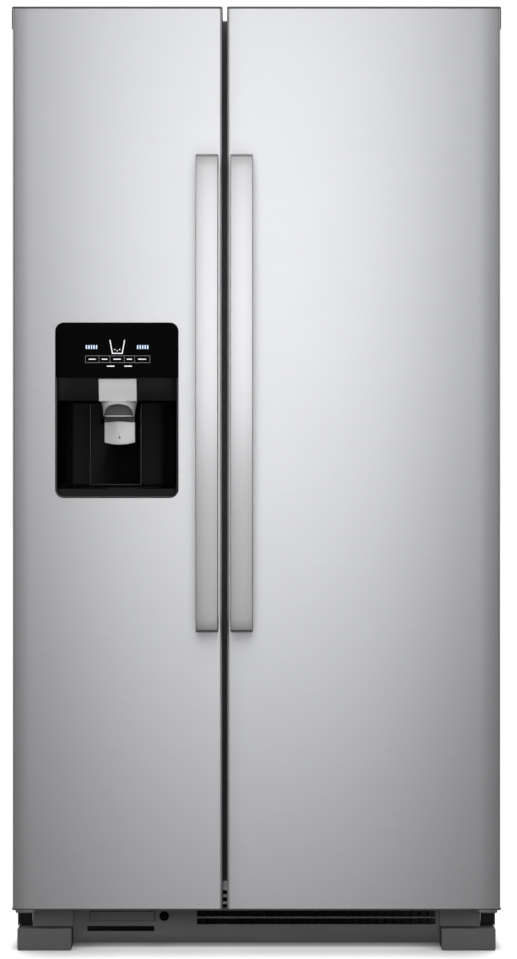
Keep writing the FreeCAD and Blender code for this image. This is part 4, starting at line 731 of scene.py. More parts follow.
def door_sheet(node_name, left_outer, hole):
    """Folded sheet: a plan profile of side, quarter circle, front, quarter circle, side, carried up in rows.
    Where the dispenser goes, a ring of quads joins a rectangle of the sheet to the rounded opening."""
    settings = bpy.context.scene.fridge_doors
    low, high = box_mm(node_name)
    radius = settings.edge_radius
    front_x = np.linspace(low[0] + radius, high[0] - radius, 15)
    rows = np.concatenate([np.linspace(low[2], CAP_POCKET, 15), [high[2]]])
    rim = 14.0
    if hole is not None:
        hole_low, hole_high = hole
        middle = (hole_low + hole_high) / 2
        half = (hole_high - hole_low) / 2
        marks_x = side_marks(half[0], settings.niche_radius)
        marks_z = side_marks(half[1], settings.niche_radius)
        wide_x = middle[0] + marks_x * (half[0] + rim) / half[0]
        wide_z = middle[1] + marks_z * (half[1] + rim) / half[1]
        outside = (front_x < wide_x[0] - 1) | (front_x > wide_x[-1] + 1)
        front_x = np.sort(np.concatenate([front_x[outside], wide_x]))
        outside = (rows < wide_z[0] - 1) | (rows > wide_z[-1] + 1)
        rows = np.sort(np.concatenate([rows[outside], wide_z]))
    turn = np.linspace(0, math.pi / 2, 8)
    left_fold = np.stack(
        [low[0] + radius * (1 - np.cos(turn)), low[1] + radius * (1 - np.sin(turn))], -1)
    right_fold = np.stack(
        [high[0] - radius * (1 - np.cos(turn[::-1])), low[1] + radius * (1 - np.sin(turn[::-1]))], -1)
    front = np.stack([front_x[1:-1], np.full(len(front_x) - 2, low[1])], -1)
    plan = np.concatenate([[[low[0], high[1]]], left_fold, front, right_fold, [[high[0], high[1]]]])
    across, up = np.meshgrid(np.arange(len(plan)), rows)
    points = np.stack([plan[across, 0], plan[across, 1], up], -1)
    flat, quads, _ = grid(points)
    centre = flat[quads].mean(1)
    outer_side = centre[:, 0] < low[0] + 0.1 if left_outer else centre[:, 0] > high[0] - 0.1
    keep = ~(outer_side & (centre[:, 2] > CAP_POCKET))
    parts = []
    if hole is not None:
        inside = (np.abs(centre[:, 0] - middle[0]) < half[0] + rim) & (
            np.abs(centre[:, 2] - middle[1]) < half[1] + rim)
        keep &= ~inside
        xs, zs = marks_x / half[0], marks_z / half[1]
        edge = np.concatenate([
            np.stack([xs, np.full(len(xs), zs[0])], -1)[:-1],
            np.stack([np.full(len(zs), xs[-1]), zs], -1)[:-1],
            np.stack([xs[::-1], np.full(len(xs), zs[-1])], -1)[:-1],
            np.stack([np.full(len(zs), xs[0]), zs[::-1]], -1)[:-1],
        ])
        outer = middle + edge * (half + rim)
        inner = middle + round_in_box(edge * half, half, settings.niche_radius)
        ring = np.stack([placed(outer, 1, low[1]), placed(inner, 1, low[1])])
        ring_points, ring_quads, _ = grid(ring, around=True)
        parts.append((ring_points, ring_quads, []))
    parts.append((flat, quads[keep], []))
    return parts


class FRIDGE_OT_door_sheets(bpy.types.Operator):
    """Folded steel sheet of each door, with the dispenser's opening in the left one"""

    bl_idname = "fridge.door_sheets"
    bl_label = "Door sheets"

    def execute(self, context):
        low, high = box_mm("dispenser_housing")
        flat = [0, 2]
        opening = (low[flat], high[flat])
        for door, left_outer, hole in (("freezer_door", True, opening), ("fridge_door", False, None)):
            skin = door + "_skin"
            parts = door_sheet(skin, left_outer, hole)
            obj = make(
                door + "_sheet", parts, "brushed_steel", door, [skin], closed=False,
                wall=context.scene.fridge_doors.sheet)
            grain_map(obj, (0.0, 0.0, 1.0))
        return {"FINISHED"}


def bowed_bar(node_name):
    """Handle: a closed side outline of two long arcs, bevelled ends and two legs, carried across its width
    and drawn in by a quarter circle at both long edges."""
    settings = bpy.context.scene.fridge_doors
    low, high = box_mm(node_name)
    middle = (low[2] + high[2]) / 2
    half = (high[2] - low[2]) / 2
    bow, thick, leg = settings.handle_bow, settings.handle_thick, settings.handle_leg
    bevel = 5.0
    heel = 6.0
    long_edges = 41
    corner, root = 0.8, 7.0
    rise = half - bevel
    height = np.linspace(-rise, rise, long_edges)
    outer = np.stack([low[1] + bow * (height / rise) ** 2, middle + height], -1)
    inner_rise = half - leg
    inner_height = np.linspace(inner_rise, -inner_rise, long_edges)
    inner = np.stack([low[1] + thick + bow * (inner_height / inner_rise) ** 2, middle + inner_height], -1)
    end_y = low[1] + bow
    top = np.array([(end_y + bevel, high[2]), (high[1], high[2]), (high[1], high[2] - leg + heel)])
    bottom = np.array([(high[1], low[2] + leg - heel), (high[1], low[2]), (end_y + bevel, low[2])])
    outline = np.concatenate([outer, top, inner, bottom])
    radii = np.zeros(len(outline))
    radii[[0, long_edges - 1, long_edges, -1]] = corner
    inner_start = long_edges + len(top)
    radii[[inner_start, inner_start + long_edges - 1]] = root
    outline = filleted(outline, radii, 5)
    keep = np.linalg.norm(outline - np.roll(outline, 1, 0), axis=1) > 1e-6
    outline = outline[keep]
    before = outline - np.roll(outline, 1, 0)
    after = np.roll(outline, -1, 0) - outline
    tangent = before / np.linalg.norm(before, axis=1)[:, None]
    tangent += after / np.linalg.norm(after, axis=1)[:, None]
    tangent /= np.linalg.norm(tangent, axis=1)[:, None]
    inward = np.stack([tangent[:, 1], -tangent[:, 0]], -1)
    radius = settings.handle_edge
    turn = np.linspace(0, math.pi / 2, 5)
    inset = radius * (1 - np.sin(turn))
    rise_x = radius * (1 - np.cos(turn))
    places = np.concatenate([low[0] + rise_x, (high[0] - rise_x)[::-1]])
    cuts = np.concatenate([inset, inset[::-1]])
    return stacked([placed(outline + inward * cut, 0, place) for place, cut in zip(places, cuts)])


class FRIDGE_OT_handles(bpy.types.Operator):
    """Bowed bar handle of each door"""

    bl_idname = "fridge.handles"
    bl_label = "Handles"

    def execute(self, context):
        for door in ("freezer_door", "fridge_door"):
            handle = door + "_handle"
            obj = make(door + "_bar", [bowed_bar(handle)], "handle_steel", door, [handle])
            grain_map(obj, (1.0, 1.0, 0.0))
        return {"FINISHED"}


class FRIDGE_OT_gaskets(bpy.types.Operator):
    """Magnetic seal of each door: a folded bellows section carried round the door"""

    bl_idname = "fridge.gaskets"
    bl_label = "Door gaskets"

    def execute(self, context):
        for door in ("freezer_door", "fridge_door"):
            low, high = box_mm(door + "_gasket")
            depth = high[1] - low[1]
            section = [
                (6.0, 0.0), (14.0, 0.0), (14.5, 0.25), (12.5, 0.4), (19.5, 0.62), (19.5, 0.95), (18.5, 1.0),
                (1.5, 1.0), (0.5, 0.95), (0.5, 0.62), (7.5, 0.4), (5.5, 0.25),
            ]
            section = [(cut, low[1] + share * depth) for cut, share in section]
            flat = [0, 2]
            ring = swept_ring(low[flat], high[flat], 12.0, section, 1)
            make(door + "_seal", [ring], "rubber_grey", door, [door + "_gasket"], sharp=50.0)
        return {"FINISHED"}


# ---------------------------------------------------------------- dispenser
def niche_bowl(low, high, top):
    """Cavity: across it a superellipse, half width times cos^(1/4) against depth times sin^(1/4), and up it
    a section of lip, floor, back, ceiling and sloping brow. Its width follows the rim's rounded corners."""
    radius = bpy.context.scene.fridge_doors.niche_radius
    wall = 2.0
    front, back = low[1], high[1] - 3.0
    floor = low[2] + wall
    brow_low = box_mm("ice_chute_cover")[1][2] - BROW_DROP + 0.5
    section = filleted(
        [(front, floor), (front + 11, floor + NICHE_LIP), (back, floor + NICHE_LIP - 2), (back, brow_low),
         (front + BROW_DEPTH + 10, brow_low), (front + BROW_DEPTH, top), (front + BROW_DEPTH, top + 8)],
        [0, 7, 9, 4, 2.5, 0, 0], 8)
    angle = np.linspace(math.pi, 0, 61)
    power = 2.0 / 8.0
    across = np.sign(np.cos(angle)) * np.abs(np.cos(angle)) ** power
    depth = np.abs(np.sin(angle)) ** power
    centre = (low[0] + high[0]) / 2
    half = (high[0] - low[0]) / 2 - wall
    rise = np.clip(radius - (section[:, 1] - low[2]), 0, radius)
    half_width = half - (radius - np.sqrt(np.maximum(radius**2 - rise**2, 0)))
    x = centre + half_width[:, None] * across
    y = front + 0.6 + (section[:, :1] - front) * depth
    z = np.broadcast_to(section[:, 1:], x.shape)
    return grid(np.stack([x, y, z], -1))


class FRIDGE_OT_dispenser(bpy.types.Operator):
    """Black dispenser moulding: rim, bowl, sloping brow and the outlined insert at its back. Painted light:
    the brow and side walls carry a lighter black, the lip and rim a glossier lighter black as partly painted
    sheen, and the insert's outline has grey strokes as painted highlights.
    """

    bl_idname = "fridge.dispenser"
    bl_label = "Dispenser moulding"

    def execute(self, context):
        low, high = box_mm("dispenser_housing")
        panel_low = box_mm("control_panel")[0][2]
        flat = [0, 2]
        radius = context.scene.fridge_doors.niche_radius
        turn = np.linspace(0, math.pi, 9)
        ridge = [(2.0 * (1 - math.cos(t)) - 0.4, low[1] + 1.0 - 1.6 * math.sin(t)) for t in turn]
        rim = []
        for cut, place in ridge:
            loop = rounded_loop(low[flat] + cut, high[flat] - cut, radius - cut, 10)
            rim.append(placed(loop, 1, place))
        rim_parts = [stacked(rim, caps=False)]
        # The rim's lighter, glossier black is partly real gloss and partly painted sheen.
        make("dispenser_rim", rim_parts, "rim_black", "freezer_door", closed=False, sharp=60.0)
        bowl = niche_bowl(low, high, panel_low)
        shell = make(
            "dispenser_bowl", [bowl], "black_plastic", "freezer_door", ["dispenser_housing"], closed=False,
            sharp=45.0)
        chute_low, chute_high = box_mm("ice_chute_cover")
        middle = (chute_low[0] + chute_high[0]) / 2
        brow_z = chute_high[2] - BROW_DROP
        side, left_top, right_top = 14.0, 948.0, 988.0
        # Painted light on the bowl: a lighter black on the brow and the two side walls where light falls and
        # reflects, and a glossier, lighter black on the lip as partly painted sheen
        shades = (
            ("brow_black", (low[0], low[1] - 1, brow_z - 0.5), (high[0], low[1] + 24, high[2])),
            ("rim_black", (low[0], low[1] - 1, low[2]), (high[0], low[1] + 14, low[2] + NICHE_LIP + 3)),
            ("brow_black", (low[0], low[1] - 1, low[2]), (low[0] + side, high[1], left_top)),
            ("brow_black", (high[0] - side, low[1] - 1, low[2]), (high[0], high[1], right_top)),
        )
        for finish, box_low, box_high in shades:
            darkened(shell, finish, box_low, box_high)
        insert_back = high[1] - 3.0
        left, right, base = middle - 60, middle + 40, low[2] + 19
        section = ((0.0, 0.5), (0.0, -2.2), (0.5, -3.0), (1.4, -3.2), (1.9, -2.8), (2.4, -1.9), (3.2, -1.6))
        insert = []
        for cut, place in section:
            loop = rounded_loop((left + cut, base + cut), (right - cut, brow_z - cut), 5.0 - cut, 6)
            insert.append(placed(loop, 1, insert_back + place))
        parts = [stacked(insert)]
        lug_out, lug_half, lug_front, lug_low, lug_high = 34.5, 1.5, -305.0, 984.0, 994.0
        for lug_x in (middle - lug_out, middle + lug_out):
            parts.append(soft_box(
                (lug_x - lug_half, lug_front, lug_low), (lug_x + lug_half, insert_back + 1, lug_high), 1.0,
                axis=0, steps=3))
        make("dispenser_insert", parts, "black_plastic", "freezer_door", sharp=50.0)
        # Grey strokes along the insert's left, right and lower edges are painted highlights.
        top = brow_z - 4.5
        inset = 2.0
        left, right, base = left + inset, right - inset, base + inset
        edges = [(left, top, left, base), (right, base, right, top), (left, base, right, base)]
        make("insert_painted_highlights", strokes(edges, 0.9, insert_back - 3.0, 0.6), "edge_grey", "freezer_door")
        return {"FINISHED"}


def strokes(lines, width, front, depth):
    """Raised straight marks on an upright plate: each line from one (x, z) point to another becomes a thin
    bar, widened to both sides along the line's normal."""
    lines = np.array(lines, float)
    start, end = lines[:, :2], lines[:, 2:]
    along = (end - start) / np.linalg.norm(end - start, axis=1)[:, None]
    across = np.stack([-along[:, 1], along[:, 0]], -1) * width / 2
    corners = np.stack([start - across, end - across, end + across, start + across], 1)
    parts = []
    for loop in corners:
        parts.append(stacked([placed(loop, 1, front), placed(loop, 1, front - depth)]))
    return parts


class FRIDGE_OT_control_panel(bpy.types.Operator):
    """Gloss control panel with its dished field and generic lit marks"""

    bl_idname = "fridge.control_panel"
    bl_label = "Control panel"

    def execute(self, context):
        low, high = box_mm("control_panel")
        radius = context.scene.fridge_doors.niche_radius
        flat = [0, 2]
        loops = []
        for cut, place in (
            (0.0, high[1]), (0.0, low[1] + 1.6), (0.25, low[1] + 0.8), (0.8, low[1] + 0.25), (1.6, low[1]),
            (13.5, low[1]), (14.3, low[1] + 0.35),
        ):
            corners = [
                (low[0] + cut, low[2] + cut), (high[0] - cut, low[2] + cut),
                (high[0] - cut, high[2] - cut), (low[0] + cut, high[2] - cut),
            ]
            top_radius = max(radius - cut, 3.0)
            low_radius = 1.5 if cut < 10 else 3.0
            outline = filleted(corners, [low_radius, low_radius, top_radius, top_radius], 8)
            loops.append(placed(outline, 1, place))
        make(
            "control_plate", [stacked(loops)], "gloss_black", "freezer_door", ["control_panel"],
            sharp=12.0)

        centre = (low[flat] + high[flat]) / 2
        face = low[1] + 0.4
        bars = []
        bar_pitch, bar_low, bar_high = 4.6, centre[1] + 2.0, centre[1] + 9.0
        for start in (-55.5, 38.5):
            for index in range(5):
                x = centre[0] + start + index * bar_pitch
                bars.append((x, bar_low, x, bar_high))
        make("panel_bars", strokes(bars, 2.4, face, 0.25), "panel_light", "freezer_door")
        glass_x, glass_low, glass_high = centre[0] + 1.0, centre[1] - 6.0, centre[1] + 18.5
        glass = [
            (glass_x - 13.5, glass_high, glass_x - 9.0, glass_low),
            (glass_x - 9.8, glass_low, glass_x + 9.8, glass_low),
            (glass_x + 9.0, glass_low, glass_x + 13.5, glass_high),
        ]
        for dot_x, dot_z in ((-4.5, 7.0), (0.0, 4.5), (4.5, 7.0)):
            glass.append((glass_x + dot_x - 1, glass_low + dot_z, glass_x + dot_x + 1, glass_low + dot_z))
        make("panel_glass_mark", strokes(glass, 1.7, face, 0.25), "panel_white", "freezer_door")
        box_low, box_high = centre[1] - 23.0, centre[1] - 10.5
        stops = np.array([-57.4, -32.4, -12.3, 13.9, 32.6, 60.9]) + centre[0]
        frame_lines = [(x, box_low, x, box_high) for x in stops]
        frame_lines += [(stops[0], z, stops[-1], z) for z in (box_low, box_high)]
        make("panel_frames", strokes(frame_lines, 0.6, face, 0.2), "panel_print", "freezer_door")
        dashes = []
        box_middle, below, half = (box_low + box_high) / 2, box_low - 6.5, 7.0
        for left, right in zip(stops[:-1], stops[1:]):
            middle = (left + right) / 2
            size = (right - left) * 0.26
            dashes.append((middle - size, box_middle, middle + size, box_middle))
        for x in (centre[0] - 11.0, centre[0] + 21.0):
            dashes.append((x - half, below, x + half, below))
        make("panel_dashes", strokes(dashes, 1.8, face, 0.2), "panel_white", "freezer_door")
        return {"FINISHED"}


class FRIDGE_OT_ice_chute(bpy.types.Operator):
    """Silver chute cover and its funnel, dished under an arch at the front; the dish under the arch is a dark
    grey piece, painted shade of the opening
    """

    bl_idname = "fridge.ice_chute"
    bl_label = "Ice chute"

    def execute(self, context):
        low, high = box_mm("ice_chute_cover")
        middle = (low[0] + high[0]) / 2
        brow_z = high[2] - BROW_DROP
        front = low[1]
        points, quads, ends = soft_box((low[0], 0.0, brow_z), (high[0], 5.0, high[2]), 1.2, axis=1)
        lean = 9.7 / (high[2] - brow_z)
        points = points + np.stack(
            [np.zeros(len(points)), front + (high[2] - points[:, 2]) * lean, np.zeros(len(points))], -1)
        parts = [(points, quads, ends)]
        lip, top = low[2], brow_z + 1.0
        angle = np.linspace(-math.pi, math.pi, 121)[:-1]
        heights = np.concatenate([[lip + 1.2, lip, lip, lip + 0.6], np.linspace(lip + 1.6, top, 34)])
        share = (heights - lip) / (top - lip)
        radius = 28.6 + 4.4 * share + 2.2 * share**5
        radius[:4] += (-3.0, -2.4, -0.8, -0.2)
        sideways = np.sin(angle) * radius[:, None]
        spread = sideways / 27.4
        arch = (heights[:, None] - lip - 2.0) / 21.0
        rise = np.clip(arch, 0, 1)
        inside = (np.abs(spread) ** 2.6 + arch**2 < 1.0) & (np.cos(angle) > 0) & (arch > 0)
        dish = np.where(inside, 15.0 * rise**0.8 * (1 - 0.4 * spread**2), 0.0)
        x = middle + sideways
        y = FUNNEL_Y - np.cos(angle) * radius[:, None] + dish
        z = np.broadcast_to(heights[:, None], x.shape)
        points, quads, ends = stacked(list(np.stack([x, y, z], -1)))
        # The quads under the arch leave the cover and become a dark grey piece, painted shade of the opening.
        painted_shade_quads = inside.ravel()[quads].all(1)
        parts.append((points, quads[~painted_shade_quads], ends))
        make("chute_mouth_painted_shade", [(points, quads[painted_shade_quads], [])], "rubber_grey", "freezer_door", closed=False)
        make(
            "chute_cover", parts, "silver_plastic", "freezer_door", ["ice_chute_cover"], closed=False,
            sharp=40.0)
        return {"FINISHED"}


class FRIDGE_OT_paddle(bpy.types.Operator):
    """Silver paddle: a plate curved in plan with a bowed lower edge, on its pivot"""

    bl_idname = "fridge.paddle"
    bl_label = "Dispenser paddle"

    def execute(self, context):
        low, high = box_mm("dispenser_paddle")
        middle = (low[0] + high[0]) / 2
        half = 28.6
        pivot_z, pivot_y = high[2] - 2.5, (low[1] + high[1]) / 2
        share = np.linspace(-1, 1, 25)
        rows = np.linspace(0, 1, 9)
        bottom = low[2] + 4.0 * share**2
        x = np.broadcast_to(middle + half * share, (len(rows), len(share)))
        z = bottom + (pivot_z - bottom) * rows[:, None]
        y = low[1] + 3.2 * share**2 + 0.8 * (1 - rows[:, None]) ** 2
        face = np.stack([x, y, z], -1)
        plate = make(
            "paddle_plate", [grid(face)], "silver_plastic", "dispenser_lever", ["dispenser_paddle"],
            closed=False)
        solid = plate.modifiers.new("wall", "SOLIDIFY")
        solid.thickness = 2.4 * MM
        solid.offset = -1
        bevel = plate.modifiers.new("edges", "BEVEL")
        bevel.width = 0.7 * MM
        bevel.segments = 2
        bevel.limit_method = "ANGLE"
        freeze(plate)
        smooth_shade(plate, 35.0)
        left, right = middle - half, middle + half
        profile = [(left, 2.0), (left + 0.5, 2.5), (right - 0.5, 2.5), (right, 2.0)]
        pivot = turned(profile, (0, pivot_y, pivot_z), 0, 24)
        neck = soft_box(
            (left + 0.5, low[1] + 1.8, pivot_z - 1), (right - 0.5, low[1] + 4.5, high[2] + 5.5), 0.8)
        make("paddle_pivot", [pivot, neck], "rubber_grey", "dispenser_lever")
        turn = np.linspace(0, 2 * math.pi, 25)[:-1]
        drop_x = middle + 2.0 * np.sin(turn) * np.sin(turn / 2) ** 1.5
        drop_z = low[2] + 14.0 + 3.4 * np.cos(turn)
        loop = np.stack([drop_x, drop_z], -1)
        make("paddle_mark", [stacked([placed(loop, 1, low[1] + 0.9), placed(loop, 1, low[1] - 0.1)])],
             "rubber_grey", "dispenser_lever")
        return {"FINISHED"}


class FRIDGE_OT_drip_tray(bpy.types.Operator):
    """Slotted drip tray on the floor of the dispenser"""

    bl_idname = "fridge.drip_tray"
    bl_label = "Drip tray"

    def execute(self, context):
        low, high = box_mm("drip_tray")
        inset = 24.0
        front, back = low[1] + 14.0, high[1] - 8.0
        top = high[2] + 0.6
        parts = []
        section = [
            (0.0, top - 3.0), (0.0, top - 0.8), (0.8, top), (5.0, top), (5.8, top - 0.8), (5.8, top - 3.0),
        ]
        parts.append(swept_ring((low[0] + inset, front), (high[0] - inset, back), 14.0, section, 2))
        bar_pitch, bar_wide, side = 8.0, 4.0, inset + 4
        for bar_y in np.arange(front + 9.0, back - 6.0, bar_pitch):
            parts.append(soft_box(
                (low[0] + side, bar_y, top - 2.6), (high[0] - side, bar_y + bar_wide, top - 0.2), 0.8,
                axis=0, steps=3))
        make("drip_grid", parts, "black_plastic", "freezer_door", ["drip_tray"])
        return {"FINISHED"}


# ---------------------------------------------------------------- cabinet
class FRIDGE_OT_cabinet(bpy.types.Operator):
    """Painted wrap of the cabinet, folded in round the front, and the pressed back panel"""

    bl_idname = "fridge.cabinet"
    bl_label = "Cabinet sheets"

    def execute(self, context):
        settings = context.scene.fridge_cabinet
        low, high = box_mm("cabinet_shell")
        fold = settings.fold
        path = filleted(
            [(low[0], low[2]), (low[0], FLANGE_LOW), (low[0], high[2]), (high[0], high[2]),
             (high[0], FLANGE_LOW), (high[0], low[2])],
            [0, 0, fold, fold, 0, 0], 7)
        turn = np.linspace(math.pi / 2, 0, 6)
        rows = [(settings.flange, low[1])]
        rows += [(2.0 * (1 - math.cos(t)), low[1] + 2.0 * (1 - math.sin(t))) for t in turn]
        rows += [(0.0, high[1] - 1.0)]
        loops = []
        for cut, place in rows:
            top_cut = cut if cut < 10 else cut + 2
            x = np.clip(path[:, 0], low[0] + cut, high[0] - cut)
            z = np.minimum(path[:, 1], high[2] - top_cut)
            loops.append(np.stack([x, np.full(len(x), place), z], -1))
        flat, quads, _ = grid(np.stack(loops))
        centre = flat[quads].mean(1)
        keep = ~((centre[:, 1] < low[1] + 0.1) & (centre[:, 2] < FLANGE_LOW))
        make("cabinet_wrap", [(flat, quads[keep], [])], "side_paint", "cabinet", ["cabinet_shell"],
             closed=False, wall=settings.sheet)

        low, high = box_mm("cabinet_back_panel")
        x = np.linspace(low[0], high[0], 91)
        z = np.linspace(low[2], high[2], 181)
        across, up = np.meshgrid(x, z)
        margin = 60.0
        pitch = (high[2] - low[2]) / 5
        place = (up - low[2]) % pitch - pitch / 2
        side = np.clip((np.abs(across) - (high[0] - margin)) / 14.0 + 1, 0, 1)
        near = np.exp(-(place / 11.0) ** 2) * (1 - side * side * (3 - 2 * side))
        frame_x = np.exp(-((np.abs(across) - (high[0] - 28.0)) / 9.0) ** 2)
        bead = 2.6 * np.maximum(near, frame_x * 0.8)
        face = np.stack([across, high[1] + bead - 0.6, up], -1)
        make(
            "back_sheet", [grid(face[:, ::-1])], "galvanised", "cabinet", ["cabinet_back_panel"],
            closed=False, wall=0.8, sharp=60.0)
        screws = []
        for screw_x in (low[0] + 8, high[0] - 8):
            for screw_z in np.linspace(low[2] + 30, high[2] - 30, 6):
                screws.append(turned(
                    [(high[1] - 1, 5.0), (high[1] + 1.2, 5.0), (high[1] + 2.0, 4.2), (high[1] + 2.3, 2.0),
                     (high[1] + 1.0, 1.8)],
                    (screw_x, 0, screw_z), 1, 16))
        make("back_screws", screws, "zinc_steel", "cabinet")
        return {"FINISHED"}


def formed_room(node_name, corner):
    """Liner: rounded rectangles carried back from the front edge, up over the step at the rear and to the
    back wall. The floor height follows the step while the other sides stay."""
    wall = bpy.context.scene.fridge_cabinet.liner_wall
    low, high = box_mm(node_name)
    low, high = low + wall, high - wall
    front = low[1] - wall
    side = filleted(
        [(front, low[2]), (STEP_FRONT, low[2]), (STEP_FRONT, STEP_TOP), (high[1], STEP_TOP),
         (high[1], STEP_TOP + 60)],
        [0, 16, 16, 0, 0], 6)[:-12]
    loops = []
    for place, floor in side:
        loop = rounded_loop((low[0], floor), (high[0], high[2]), corner, 7)
        loops.append(placed(loop, 1, place))
    back_radius = 14.0
    for t in np.linspace(0, math.pi / 2, 6):
        cut = back_radius * (1 - math.cos(t))
        loop = rounded_loop(
            (low[0] + cut, STEP_TOP + cut), (high[0] - cut, high[2] - cut), corner - cut * 0.6, 7)
        loops.append(placed(loop, 1, high[1] - back_radius + back_radius * math.sin(t)))
    points, quads, ends = stacked(loops)
    return points, quads, ends[1:]


class FRIDGE_OT_liners(bpy.types.Operator):
    """Formed inner liners of both rooms with their drawer rails"""

    bl_idname = "fridge.liners"
    bl_label = "Cabinet liners"

    def execute(self, context):
        settings = context.scene.fridge_cabinet
        plans = (
            ("freezer", ("freezer_lower_basket", "freezer_upper_basket")),
            ("fridge", ("lower_crisper", "upper_crisper", "meat_drawer")),
        )
        for room, drawers in plans:
            node_name = room + "_liner"
            points, quads, ends = formed_room(node_name, settings.liner_corner)
            make(room + "_room", [(points, quads[:, ::-1], ends)], "liner_plastic", "cabinet", [node_name],
                 closed=False, sharp=50.0)
            low, high = box_mm(node_name)
            rails = []
            for drawer in drawers:
                box_low, box_high = box_mm(drawer)
                top = box_low[2] - 0.5
                for x0, x1 in ((low[0] + 1, box_low[0] + 10), (box_high[0] - 10, high[0] - 1)):
                    rails.append(soft_box((x0, RAIL_FRONT, top - 8), (x1, box_high[1] - 2, top), 2.5, axis=1))
            make(room + "_rails", rails, "liner_plastic", "cabinet")
        return {"FINISHED"}


# ---------------------------------------------------------------- bins, drawers and shelves
class FRIDGE_OT_bins(bpy.types.Operator):
    """Clear bins, drawers and baskets, each an open box with a rolled rim"""

    bl_idname = "fridge.bins"
    bl_label = "Bins and drawers"

    def execute(self, context):
        wall = 3.0
        for door, levels in (("freezer_door", FREEZER_BINS), ("fridge_door", FRIDGE_BINS)):
            low, high = box_mm(door + "_bins")
            for number, (level, tall) in enumerate(levels, 1):
                top = level + tall
                part = tray((low[0] + 0.5, low[1] + 0.5, level), (high[0] - 0.5, high[1], top), wall, 16.0)
                band = tray(
                    (low[0] + 2.5, low[1] + 2.5, top - 24), (high[0] - 2.5, high[1] + 0.6, top - 10),
                    1.2, 14.0, 0.4)
                make(f"{door}_bin_{number}", [part], "clear_plastic", door, [door + "_bins"])
                make(f"{door}_bin_band_{number}", [band], "liner_plastic", door)
        low, high = box_mm("fridge_door_bins")
        flap_low, flap_high = box_mm("dairy_flap")
        top, base, depth = high[2], DAIRY_BASE, DAIRY_DEPTH
        dairy = [
            soft_box((low[0], low[1], top - wall), (high[0], low[1] + depth, top), 1.2),
            soft_box((low[0], low[1], base), (high[0], low[1] + depth, base + wall), 1.2),
            soft_box((low[0], low[1], base), (high[0], low[1] + wall, top), 1.2),
        ]
        for x0 in (low[0], high[0] - wall):
            dairy.append(soft_box((x0, low[1], base), (x0 + wall, low[1] + depth, top), 1.2, axis=0))
            dairy.append(soft_box(
                (x0, low[1] + depth - 6, top - 11), (x0 + wall, DAIRY_EAR, top), 1.2, axis=0))
        make("dairy_shell", dairy, "clear_plastic", "fridge_door", ["fridge_door_bins"])
        middle = (flap_low[1] + flap_high[1]) / 2
        left, right, base, grip = flap_low[0], flap_high[0], flap_low[2], 120.0
        axle = [(left, 1.8), (left + 0.4, 2.0), (right - 0.4, 2.0), (right, 1.8)]
        flap = [
            soft_box((left + 3, middle - 1.5, base), (right - 3, middle + 1.5, flap_high[2]), 1.3),
            soft_box((left + grip, middle - 1.4, base + 4), (right - grip, middle + 3.6, base + 12), 1.6),
            turned(axle, (0, middle, flap_high[2] - 2), 0, 16),
        ]
        make("dairy_cover", flap, "clear_plastic", "butter_flap", ["dairy_flap"])

        drawers = (
            ("freezer_lower_basket", "freezer_low_drawer"), ("freezer_upper_basket", "freezer_high_drawer"),
            ("lower_crisper", "crisper_low"), ("upper_crisper", "crisper_high"),
            ("meat_drawer", "meat_tray"),
        )
        for node_name, body in drawers:
            low, high = box_mm(node_name)
            basket = node_name.startswith("freezer")
            rim_top = high[2] - (14.0 if basket else 3.0)
            tub = tray(low, (high[0], high[1], rim_top), wall, 14.0)
            front_top = high[2] if basket else rim_top + 2.5
            front, side = low[1], 60.0
            panel = soft_box(
                (low[0] + 0.5, front - 0.4, low[2] + 6), (high[0] - 0.5, front + 4.5, front_top), 2.0)
            grip = soft_box(
                (low[0] + side, front - 0.2, rim_top - 5), (high[0] - side, front + 13, front_top), 2.4,
                axis=0)
            make(node_name + "_tub", [tub], "clear_plastic", body, [node_name])
            make(node_name + "_front", [panel], "clear_plastic", body)
            make(node_name + "_grip", [grip], "liner_plastic", body)
        return {"FINISHED"}


